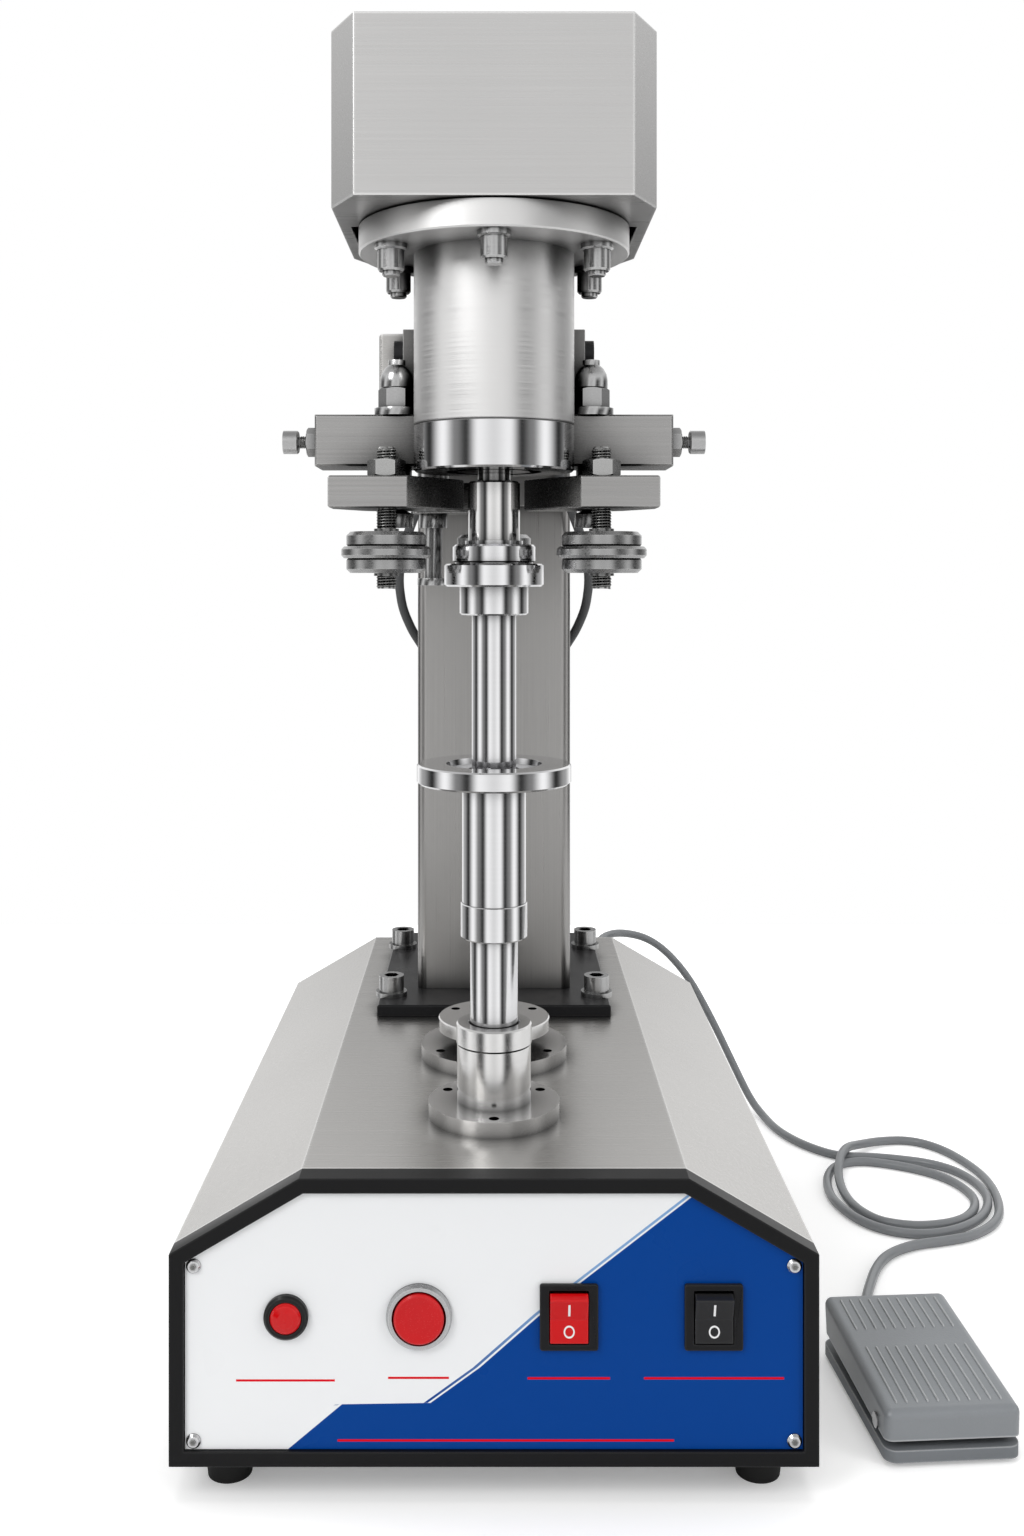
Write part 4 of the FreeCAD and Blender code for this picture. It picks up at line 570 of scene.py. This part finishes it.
FINISH_LIST: tuple[Finish, ...] = (
    Steel("brushed_sheet", (0.54, 0.53, 0.515), 0.29, Grain.ALONG_X, 0.04, 0.03, 0.03, edge_width=0.0026),
    Steel("brushed_cover", (0.56, 0.555, 0.55), 0.30, Grain.ALONG_X, 0.035, 0.03, 0.03, edge_width=0.002),
    Steel("brushed_column", (0.38, 0.373, 0.365), 0.32, Grain.ALONG_Z, 0.08, 0.04, 0.06),
    Steel("zinc_sheet", (0.45, 0.46, 0.47), 0.42, Grain.ALONG_Y, 0.12, 0.12, 0.08),
    Steel("bright_steel", (0.55, 0.55, 0.56), 0.2, Grain.ALONG_X, 0.05, 0.03, 0.02, reach=0.005),
    Steel("bezel_satin", (0.47, 0.47, 0.475), 0.24, Grain.TURNED, 0.05, 0.03, 0.02, reach=0.006),
    Steel("turned_steel", (0.74, 0.735, 0.73), 0.4, Grain.TURNED, 0.02, 0.02, 0.008, reach=0.02, polish_within=0.03),
    Steel("polished_steel", CHROME, 0.1, Grain.TURNED, 0.02, 0.02, 0.0, painted_shade_factor=0.08),
    Steel("gear_steel", (0.38, 0.38, 0.385), 0.34, Grain.ALONG_X, 0.12, 0.08, 0.1),
    Steel("bolt_steel", (0.46, 0.46, 0.46), 0.2, Grain.TURNED, 0.06, 0.05, 0.03, painted_shade_factor=0.05),
    Steel("arm_steel", (0.35, 0.345, 0.34), 0.34, Grain.ALONG_X, 0.08, 0.06, 0.08, painted_shade_factor=0.06, reach=0.03),
    Steel("bar_steel", (0.38, 0.375, 0.37), 0.27, Grain.ALONG_X, 0.09, 0.05, 0.06, painted_shade_factor=0.05, reach=0.03),
    Steel("stud_steel", (0.46, 0.46, 0.455), 0.24, Grain.TURNED, 0.06, 0.05, 0.03, painted_shade_factor=0.06),
    Steel("roller_steel", (0.38, 0.38, 0.38), 0.28, Grain.TURNED, 0.04, 0.04, 0.01, painted_shade_factor=0.04),
    Skin("frame_black", (0.006, 0.006, 0.0065), 0.34, bump=0.12, fineness=1400.0, dust=0.0),
    Skin("plate_black", (0.008, 0.008, 0.009), 0.30, bump=0.1, fineness=1200.0, dust=0.03),
    Skin("screw_black", (0.03, 0.03, 0.032), 0.32, bump=0.08, fineness=1500.0),
    Skin("motor_paint", (0.05, 0.055, 0.06), 0.42, bump=0.2, fineness=700.0),
    Skin("foot_rubber", (0.018, 0.018, 0.018), 0.62, bump=0.2, fineness=1200.0),
    Skin("bezel_black", (0.008, 0.008, 0.008), 0.3, bump=0.06, coat=0.1, dust=0.02),
    Skin("lens_red", (0.62, 0.002, 0.004), 0.14, cloud=0.25, bump=0.03, coat=0.35, dust=0.0, glow=0.1),
    Skin("button_red", (0.6, 0.005, 0.008), 0.36, (0.9, 0.2, 0.2), 0.22, 0.12, 0.25, 1600.0, 0.2, 0.0),
    Skin("switch_black", (0.008, 0.008, 0.009), 0.34, bump=0.1, fineness=1500.0, dust=0.02),
    Skin("rocker_red", (0.62, 0.002, 0.004), 0.22, bump=0.04, coat=0.12, dust=0.0),
    Skin("rocker_black", (0.016, 0.016, 0.017), 0.22, bump=0.04, coat=0.12, dust=0.0),
    Skin("inlet_black", (0.02, 0.02, 0.021), 0.4, bump=0.1, fineness=1500.0),
    Skin("cord_grey", (0.2, 0.21, 0.22), 0.34, bump=0.06, fineness=1200.0, dust=0.0, shine=0.6, coat=0.2),
    Skin("pedal_grey", (0.205, 0.22, 0.235), 0.34, (0.34, 0.35, 0.36), 0.1, 0.08, 0.3, 1100.0, 0.15, 0.0,
         shine=0.9, edge_width=0.0016, edge_lift=0.3),
    Skin("pedal_dark", (0.185, 0.197, 0.21), 0.4, bump=0.25, fineness=1100.0, dust=0.0, edge_lift=0.25),
    Skin("cable_dark", (0.1, 0.102, 0.105), 0.42, bump=0.08, fineness=1200.0),
    Steel("thread_dark", (0.17, 0.17, 0.165), 0.26, Grain.TURNED, 0.08, 0.04, 0.02, painted_shade_factor=0.05, reach=0.002),
    Skin("mark_white", (0.85, 0.85, 0.85), 0.35, cloud=0.04, bump=0.02, dust=0.0),
    Printed("panel_print"),
)
FINISHES: dict[str, Finish] = {finish.name: finish for finish in FINISH_LIST}


class Palette:
    """Builds each finish once, when it is first asked for."""

    def __init__(self) -> None:
        """Starts with nothing built."""
        self.built: dict[str, bpy.types.Material] = {}

    def get(self, name: str) -> bpy.types.Material:
        """The material of one finish."""
        if name not in self.built:
            self.built[name] = FINISHES[name].build()
        return self.built[name]


class Shape:
    """A mesh in progress, in millimetres."""

    def __init__(self) -> None:
        """Starts empty."""
        self.points: list[Point] = []
        self.faces: list[list[int]] = []

    def ring(self, points: Sequence[Point]) -> list[int]:
        """Adds a row of points and returns their numbers."""
        start = len(self.points)
        self.points.extend(points)
        return list(range(start, start + len(points)))

    def bridge(self, first: Sequence[int], second: Sequence[int]) -> None:
        """Joins two rings of points with faces.

        Args:
            first: The first ring's numbers.
            second: The second ring's numbers.
        """
        count = len(first)
        for index in range(count):
            after = (index + 1) % count
            self.faces.append([first[index], first[after], second[after], second[index]])

    def cap(self, row: Sequence[int], flip: bool = False) -> None:
        """Closes a ring with one face."""
        self.faces.append(list(reversed(row)) if flip else list(row))

    def add(self, name: str, material: bpy.types.Material, rider: str, smooth: bool = True) -> None:
        """Makes the object.

        Args:
            name: The object's name.
            material: Its finish.
            rider: The body it rides.
            smooth: Whether its faces are shaded smooth.
        """
        mesh = bpy.data.meshes.new(name)
        mesh.from_pydata([tuple(part * MM for part in point) for point in self.points], [], self.faces)
        sheet = bmesh.new()
        sheet.from_mesh(mesh)
        bmesh.ops.recalc_face_normals(sheet, faces=sheet.faces)
        sheet.to_mesh(mesh)
        sheet.free()
        for polygon in mesh.polygons:
            polygon.use_smooth = smooth
        mesh.materials.append(material)
        made = link_new(name, mesh)
        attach(made, rider)
        log.info("piece %s rides %s", name, rider)


ROOT_RISE = 0.04
CREST_HALF = 0.1
RUN_IN = 8


def upright_helix(shape: Shape, centre: Pair, radius: float, low: float, high: float,
                  pitch: float, depth: float, steps: int = 18) -> None:
    """A thread's crest winding up an upright rod.

    Args:
        shape: The mesh to add to.
        centre: The rod's axis.
        radius: The crest's outer radius.
        low: The thread's lower end.
        high: Its upper end.
        pitch: Rise per turn.
        depth: How far the crest stands out of its root.
        steps: Points per turn.
    """
    total = max(2, int(round((high - low) / pitch * steps)))
    previous: Optional[list[int]] = None
    first: Optional[list[int]] = None
    for index in range(total + 1):
        angle = 2 * math.pi * index / steps
        level = low + (high - low) * index / total
        lead = min(1.0, index / RUN_IN, (total - index) / RUN_IN)
        root = radius - depth + ROOT_RISE
        out = root + (depth - ROOT_RISE) * lead
        half = pitch * 0.5
        corners = []
        for away, lift in ((root, -half), (out, -CREST_HALF), (out, CREST_HALF), (root, half)):
            corners.append((centre[0] + away * math.cos(angle), centre[1] + away * math.sin(angle), level + lift))
        row = shape.ring(corners)
        if previous is None:
            first = row
        else:
            shape.bridge(previous, row)
        previous = row
    if first is not None and previous is not None:
        shape.cap(first)
        shape.cap(previous, flip=True)


@dataclass
class CadDresser:
    """Gives each CAD node its finish and, where it has sharp folded or machined edges, fine bevels."""

    palette: Palette
    wide: float = 0.0012
    fine: float = 0.0004
    angle: float = math.radians(34)
    weld_gap: float = 0.00002
    flat_angle: float = math.radians(0.6)
    segments: int = 3
    fine_nodes: tuple[str, ...] = (
        "front_frame", "switch_frames", "power_rocker", "mode_rocker", "power_inlet", "head_arm", "pivot_studs",
        "left_arm", "right_arm", "rear_arm",
    )
    wide_nodes: tuple[str, ...] = ("base_shell", "motor_cover", "column", "crossbar", "column_plate", "pedal_base")

    def bevel(self, node: bpy.types.Object, width: float) -> None:
        """Welds the mesh, rounds its sharp edges and keeps its flat faces flat.

        Args:
            node: The CAD node's object.
            width: The bevel's width in metres.
        """
        weld = node.modifiers.new("weld", "WELD")
        weld.merge_threshold = self.weld_gap
        flat = node.modifiers.new("flat", "DECIMATE")
        flat.decimate_type = "DISSOLVE"
        flat.angle_limit = self.flat_angle
        edge = node.modifiers.new("edge", "BEVEL")
        edge.width = width
        edge.segments = self.segments
        edge.limit_method = "ANGLE"
        edge.angle_limit = self.angle
        edge.use_clamp_overlap = True
        edge.harden_normals = True
        edge.miter_outer = "MITER_ARC"

    def build(self) -> None:
        """Dresses every node that the record gives a slot."""
        for row in frame["record"]["subparts"]:
            name = row["node"]
            node = frame["nodes"][name]
            node.data.materials.clear()
            node.data.materials.append(self.palette.get(row["material_slot"]))
            if name in self.fine_nodes:
                self.bevel(node, self.fine)
            elif name in self.wide_nodes:
                self.bevel(node, self.wide)
            log.info("node %s wears %s", name, row["material_slot"])


@dataclass
class PedalCord:
    """The grey cord: out of the rear gland, down, two loose turns on the floor, and into the pedal."""

    palette: Palette
    diameter: float = 6.0
    length: float = 1449.0
    lying: float = 3.2
    fall: tuple[Point, ...] = (
        (80, 254, 134), (83, 276, 137), (101, 297, 138), (130, 303, 130), (156, 301, 104), (176, 297, 68),
        (193, 290, 32), (204, 276, 9.2), (211, 252, 3.5),
    )
    first_turn: tuple[Pair, ...] = (
        (216, 226), (227, 201), (243, 181), (256, 174), (272, 174), (295, 169), (316, 161), (331, 145), (338, 119),
        (335, 95), (322, 70), (300, 52), (277, 45), (256, 50), (240, 66),
    )
    second_turn: tuple[Pair, ...] = (
        (231, 92), (230, 115), (235, 140), (246, 159), (262, 166), (279, 163), (304, 150), (320, 133), (327, 110),
        (325, 92), (316, 75), (302, 63.5), (281, 58), (265, 60), (250, 68), (240, 94),
    )
    over: tuple[Point, ...] = (
        (240, 127, 4.5), (247, 155, 9.4), (257, 176, 9.6), (270, 190, 6.0), (289, 204, 3.4),
    )
    last_turn: tuple[Pair, ...] = (
        (312, 206), (330, 190), (341, 162), (346, 134), (343, 100), (332, 66), (309, 44), (286, 36), (265, 31),
    )
    tail: tuple[Pair, ...] = ((246, 18), (234, 0), (224, -24))
    relief_height: float = 6.5
    entry: tuple[Pair, ...] = ((3.2, 36), (-1.0, 16))
    entry_drop: float = 0.4
    end_inset: float = 3.0

    def route(self) -> list[Point]:
        """The cord's control points, from the gland to the pedal's relief."""
        low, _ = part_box("cord_tail")
        end = (low.x / MM + self.end_inset, low.y / MM, self.relief_height)
        middle = [(x, y, self.lying) for x, y in (*self.first_turn, *self.second_turn)]
        after = [(x, y, self.lying) for x, y in (*self.last_turn, *self.tail)]
        (far_x, far_y), (near_x, near_y) = self.entry
        into = [(end[0] + far_x, end[1] + far_y, self.lying),
                (end[0] + near_x, end[1] + near_y, self.relief_height - self.entry_drop), end]
        return [*self.fall, *middle, *self.over, *after, *into]

    def build(self) -> None:
        curve = bpy.data.curves.new("pedal_lead", "CURVE")
        curve.dimensions = "3D"
        curve.bevel_depth = self.diameter / 2 * MM
        curve.bevel_resolution = 5
        curve.resolution_u = 10
        curve.use_fill_caps = True
        spline = curve.splines.new("NURBS")
        points = self.route()
        spline.points.add(len(points) - 1)
        for spot, given in zip(spline.points, points):
            spot.co = (*(part * MM for part in given), 1.0)
        spline.order_u = 3
        spline.use_endpoint_u = True
        curve.materials.append(self.palette.get("cord_grey"))
        lead = link_new("pedal_lead", curve)
        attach(lead, "machine")
        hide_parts("pedal_cord", "cord_coil", "cord_tail")
        log.info("pedal cord made")


@dataclass
class Threads:
    """Dark threads on the roller studs' bare lengths and on the two adjusting screws."""

    palette: Palette
    pitch: float = 1.5
    stud_radius: float = 4.6
    depth: float = 0.5
    levels: tuple[Pair, ...] = ((450.6, 461.7), (487.4, 492.4), (421.4, 427.4))
    margin: float = 0.4
    shortest: float = 2.0
    adjuster_radius: float = 3.35
    adjuster_depth: float = 0.45
    adjuster_pitch: float = 1.0
    adjuster_span: Pair = (100.1, 103.4)

    def stud(self, node: str, rider: str) -> None:
        """Winds threads round one stud's bare lengths.

        Args:
            node: The stud's CAD node.
            rider: The body that carries it.
        """
        low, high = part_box(node)
        centre = ((low.x + high.x) / 2 / MM, (low.y + high.y) / 2 / MM)
        shape = Shape()
        for start, end in self.levels:
            start, end = max(start, low.z / MM + self.margin), min(end, high.z / MM - self.margin)
            if end - start > self.shortest:
                upright_helix(shape, centre, self.stud_radius + self.depth, start, end, self.pitch, self.depth)
        shape.add(f"{node}_thread", self.palette.get("thread_dark"), rider)

    def adjusters(self) -> None:
        """Winds threads round the adjusting screws' bare lengths, between their nuts and their heads."""
        low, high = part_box("adjusters")
        middle_y, middle_z = (low.y + high.y) / 2 / MM, (low.z + high.z) / 2 / MM
        shape = Shape()
        start, end = self.adjuster_span
        upright_helix(shape, (0.0, 0.0), self.adjuster_radius, start, end, self.adjuster_pitch, self.adjuster_depth)
        one_side = list(shape.points)
        shape.points = [(z, middle_y + x, middle_z + y) for x, y, z in one_side]
        shape.points += [(-z, middle_y + x, middle_z + y) for x, y, z in one_side]
        shape.faces += [[corner + len(one_side) for corner in face] for face in list(shape.faces)]
        shape.add("adjuster_threads", self.palette.get("thread_dark"), "machine")

    def build(self) -> None:
        """Threads all three roller studs and both adjusting screws."""
        for side in ("left", "right", "rear"):
            self.stud(f"{side}_stud", f"{side}_arm")
        self.adjusters()


@dataclass
class PedalDress:
    """Grip ribs on the pedal's tread."""

    palette: Palette
    turn: float = math.radians(4)
    centre: Pair = (217.5, -146.0)
    ribs: int = 11
    pitch: float = 5.2
    rib_width: float = 1.3
    rib_height: float = 0.75
    rear_group: Pair = (16.0, 45.0)
    front_group: Pair = (-46.0, 1.0)
    front_height: float = 27.0
    rear_height: float = 34.0
    length: float = 106.0
    rear_gap: float = 1.0
    sunk: float = 0.1
    ends: tuple[Pair, ...] = ((0.0, 0.15), (0.5, 0.7), (1.3, 1.0))
    facets: int = 5

    def top(self, along: float) -> float:
        """The tread's height above the floor at a place along it."""
        share = (along + self.length / 2) / (self.length - self.rear_gap)
        return self.front_height + (self.rear_height - self.front_height) * share

    def spot(self, across: float, along: float, lift: float) -> Point:
        """A place on the tread in the object's frame.

        Args:
            across: Distance to the right of the pedal's middle line.
            along: Distance to the rear of its middle.
            lift: Distance above the tread's face.

        Returns:
            The place in mm.
        """
        x = self.centre[0] + across * math.cos(self.turn) - along * math.sin(self.turn)
        y = self.centre[1] + across * math.sin(self.turn) + along * math.cos(self.turn)
        return (x, y, self.top(along) + lift)

    def rib(self, shape: Shape, across: float, start: float, end: float) -> None:
        """One rib with a rounded section and tapered ends.

        Args:
            shape: The mesh to add to.
            across: The rib's place across the tread.
            start: Its front end.
            end: Its rear end.
        """
        previous: Optional[list[int]] = None
        half = self.rib_width / 2
        stations = [(start + away, share) for away, share in self.ends]
        stations += [(end - away, share) for away, share in reversed(self.ends)]
        for along, share in stations:
            rows = []
            for step in range(self.facets + 1):
                angle = math.pi * step / self.facets
                rows.append(self.spot(across + half * share * math.cos(angle), along,
                                      -self.sunk + (self.rib_height + self.sunk) * share * math.sin(angle)))
            row = shape.ring(rows)
            if previous is None:
                shape.cap(row)
            else:
                shape.bridge(previous, row)
            previous = row
        if previous is not None:
            shape.cap(previous, flip=True)

    def build(self) -> None:
        """Makes both groups of ribs as one piece of the tread."""
        shape = Shape()
        for number in range(self.ribs):
            across = (number - (self.ribs - 1) / 2) * self.pitch
            for start, end in (self.front_group, self.rear_group):
                self.rib(shape, across, start, end)
        shape.add("tread_ribs", self.palette.get("pedal_grey"), "tread")


@dataclass
class SwitchMarks:
    """The raised I and O marks on the front rockers."""

    palette: Palette
    lift: float = 0.12
    bar: Pair = (1.0, 6.4)
    ring: Pair = (2.55, 1.85)
    ring_stretch: float = 1.15
    ring_steps: int = 28
    sunk: float = 0.2
    facing: float = -0.75

    def face(self, node: str, upper: bool) -> tuple[Vector, Vector, Vector]:
        """Finds a rocker's upper or lower front facet.

        Args:
            node: The rocker's CAD node.
            upper: Whether the upper facet is asked for.

        Returns:
            The facet's middle, its outward direction and its upward direction.
        """
        low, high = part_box(node)
        level = (low.z + high.z) / 2
        spots: list[tuple[float, Vector, Vector]] = []
        for polygon in frame["nodes"][node].data.polygons:
            if polygon.normal.y < self.facing and (polygon.center.z > level) == upper:
                spots.append((polygon.area, polygon.center.copy(), polygon.normal.copy()))
        total = sum(spot[0] for spot in spots)
        middle = sum((spot[1] * spot[0] for spot in spots), Vector()) / total
        outward = max(spots, key=lambda spot: spot[0])[2].normalized()
        upward = (Vector((0, 0, 1)) - outward * outward.z).normalized()
        return middle, outward, upward

    def mark(self, node: str) -> None:
        """Puts both marks on one rocker, whose node and body have the same name."""
        shape = Shape()
        for upper in (True, False):
            middle, outward, upward = self.face(node, upper)
            side = Vector((1, 0, 0))
            if upper:
                wide, tall = self.bar[0] / 2, self.bar[1] / 2
                loops = [[(-wide, -tall), (wide, -tall), (wide, tall), (-wide, tall)]]
            else:
                angles = [2 * math.pi * step / self.ring_steps for step in range(self.ring_steps)]
                loops = [[(radius * math.cos(angle), radius * self.ring_stretch * math.sin(angle))
                          for angle in angles] for radius in self.ring]
            rows = []
            for height in (self.lift, -self.sunk):
                for loop in loops:
                    rows.append(shape.ring([tuple(middle / MM + side * u + upward * v + outward * height)
                                            for u, v in loop]))
            if upper:
                shape.bridge(rows[0], rows[1])
                shape.cap(rows[0])
                shape.cap(rows[1], flip=True)
            else:
                for first, second in ((0, 1), (2, 3), (0, 2), (1, 3)):
                    shape.bridge(rows[first], rows[second])
        shape.add(f"{node}_marks", self.palette.get("mark_white"), node, smooth=False)

    def build(self) -> None:
        """Marks both rockers."""
        for node in ("power_rocker", "mode_rocker"):
            self.mark(node)


@dataclass
class PanelSockets:
    """Dark hexagonal prisms in the front panel's screws, in mm: painted shade standing in for the shaded hollow of
    each socket.
    """

    palette: Palette
    across: float = 138.8
    levels: Pair = (28.2, 109.0)
    radius: float = 1.55
    front: float = -227.97
    back: float = -227.5

    def build(self) -> None:
        """Adds the four dark prisms of painted shade."""
        shape = Shape()
        for x in (-self.across, self.across):
            for z in self.levels:
                corners = [(x + self.radius * math.cos(math.pi * step / 3),
                            z + self.radius * math.sin(math.pi * step / 3)) for step in range(6)]
                rows = [shape.ring([(u, y, v) for u, v in corners]) for y in (self.front, self.back)]
                shape.bridge(rows[0], rows[1])
                shape.cap(rows[0])
                shape.cap(rows[1], flip=True)
        # Painted shade: solid dark prisms where the sockets' hollows would lie in shade.
        shape.add("panel_screw_socket_shade", self.palette.get("thread_dark"), "machine", smooth=False)


@dataclass(frozen=True)
class Lamp:
    """One soft area lamp, in metres and watts."""

    name: str
    spot: Point
    target: Point
    size: Pair
    power: float
    mirrored: bool = False

    def build(self) -> None:
        """Hangs the lamp facing its target."""
        data = bpy.data.lights.new(self.name, "AREA")
        data.shape = "RECTANGLE"
        data.size, data.size_y = self.size
        data.energy = self.power
        item = link_new(self.name, data)
        item.location = self.spot
        item.rotation_euler = (Vector(self.target) - Vector(self.spot)).to_track_quat("-Z", "Y").to_euler()
        item.visible_glossy = self.mirrored


@dataclass
class Studio:
    """Camera, floor, world and lamps."""

    place: Point = (0.0, -0.919, 0.430)
    lens: float = 52.73
    shift: Pair = (18 / 1024, -197 / 1024)
    sensor: float = 36.0
    far: float = 100.0
    floor_white: float = 0.9
    floor_roughness: float = 0.9
    floor_shine: float = 0.1
    floor_near: Pair = (0.24, 0.24)
    floor_away: Pair = (0.5, 0.6)
    ground: tuple[float, float, float, float] = (-0.6, 0.8, -0.5, 0.9)
    world_level: float = 0.62
    slope: tuple[float, float, float] = (0.18, 0.42, 0.95)
    overhead: float = 1.05
    zenith: float = 0.5
    panels: tuple[Pair, ...] = (
        (0.0, 0.86), (0.12, 1.1), (0.22, 0.04), (0.31, 0.25), (0.43, 1.15), (0.58, 0.03), (0.72, 0.4), (0.87, 1.1),
        (1.0, 0.01),
    )
    lamps: tuple[Lamp, ...] = (
        Lamp("key", (-1.5, -1.7, 1.9), (0.0, -0.1, 0.35), (1.0, 1.3), 26.0, mirrored=True),
        Lamp("fill", (1.9, -1.3, 1.3), (0.0, -0.1, 0.3), (0.8, 1.5), 12.0),
        Lamp("top", (0.0, 0.2, 2.4), (0.0, 0.0, 0.3), (1.6, 1.6), 16.0),
    )

    def camera(self) -> None:
        """Sets the camera at the photograph's viewpoint."""
        data = bpy.data.cameras.new("camera")
        data.lens = self.lens
        data.sensor_width = self.sensor
        data.sensor_fit = "HORIZONTAL"
        data.shift_x, data.shift_y = self.shift
        data.clip_end = self.far
        item = link_new("camera", data)
        item.location = self.place
        item.rotation_euler = (math.pi / 2, 0.0, 0.0)
        bpy.context.scene.camera = item

    def floor(self) -> None:
        """Lays a plain white floor that keeps the shadows and glows a little to the camera, more so far out."""
        left, right, front, back = self.ground
        mesh = bpy.data.meshes.new("floor")
        mesh.from_pydata([(left, front, 0), (right, front, 0), (right, back, 0), (left, back, 0)], [],
                         [[0, 1, 2, 3]])
        ground = link_new("floor", mesh)
        material, sheet, shader = new_material("floor_white")
        shader.inputs["Base Color"].default_value = (self.floor_white,) * 3 + (1.0,)
        shader.inputs["Roughness"].default_value = self.floor_roughness
        shader.inputs["Specular IOR Level"].default_value = self.floor_shine
        path = sheet.add("ShaderNodeLightPath")
        shader.inputs["Emission Color"].default_value = (1.0, 1.0, 1.0, 1.0)
        place = sheet.place()
        away = sheet.add("ShaderNodeVectorMath", {"Vector": place}, operation="LENGTH")
        (near, near_glow), (edge, edge_glow) = self.floor_near, self.floor_away
        lift = sheet.scaled(away.outputs["Value"], near, edge, near_glow, edge_glow)
        sheet.feed(sheet.math("MULTIPLY", path.outputs["Is Camera Ray"], lift), shader.inputs["Emission Strength"])
        mesh.materials.append(material)

    def world(self) -> None:
        """Lights with a soft studio: white to the camera, with light and dark panels for steel to mirror."""
        world = bpy.data.worlds.new("studio")
        bpy.context.scene.world = world
        world.use_nodes = True
        world.node_tree.nodes.clear()
        sheet = NodeSheet(world.node_tree)
        toward = sheet.add("ShaderNodeSeparateXYZ", {"Vector": sheet.add("ShaderNodeTexCoord").outputs["Generated"]})
        turn = sheet.math("ABSOLUTE", sheet.math("ARCTAN2", toward.outputs["X"], toward.outputs["Y"]))
        around = sheet.math("SUBTRACT", 1.0, sheet.math("DIVIDE", turn, math.pi))
        panels = sheet.add("ShaderNodeValToRGB", {"Fac": around})
        ramp = panels.color_ramp
        ramp.interpolation = "EASE"
        while len(ramp.elements) < len(self.panels):
            ramp.elements.new(0.5)
        for stop, (share, shade) in zip(ramp.elements, self.panels):
            stop.position = share
            stop.color = (shade, shade, shade, 1.0)
        walls_end, ceiling_start, straight_up = self.slope
        overhead = sheet.scaled(toward.outputs["Z"], walls_end, ceiling_start)
        ceiling = sheet.scaled(toward.outputs["Z"], ceiling_start, straight_up, self.overhead, self.zenith)
        level = sheet.mix(overhead, panels.outputs["Color"], ceiling)
        path = sheet.add("ShaderNodeLightPath")
        lit = sheet.between(path.outputs["Is Glossy Ray"], self.world_level, level)
        seen = sheet.between(path.outputs["Is Camera Ray"], lit, 1.0)
        background = sheet.add("ShaderNodeBackground", {"Color": (1.0, 1.0, 1.0, 1.0), "Strength": seen})
        output = sheet.add("ShaderNodeOutputWorld")
        sheet.feed(background.outputs[0], output.inputs["Surface"])

    def build(self) -> None:
        """Sets the whole studio."""
        self.camera()
        self.floor()
        self.world()
        for lamp in self.lamps:
            lamp.build()
        bpy.context.scene.view_settings.view_transform = "Standard"


def main() -> None:
    """Builds the whole visual model."""
    logging.basicConfig(level=logging.INFO, format="%(name)s: %(message)s")
    palette = Palette()
    Studio().build()
    PedalCord(palette).build()
    CadDresser(palette).build()
    Threads(palette).build()
    PedalDress(palette).build()
    SwitchMarks(palette).build()
    PanelSockets(palette).build()


if __name__ == "__main__":
    main()
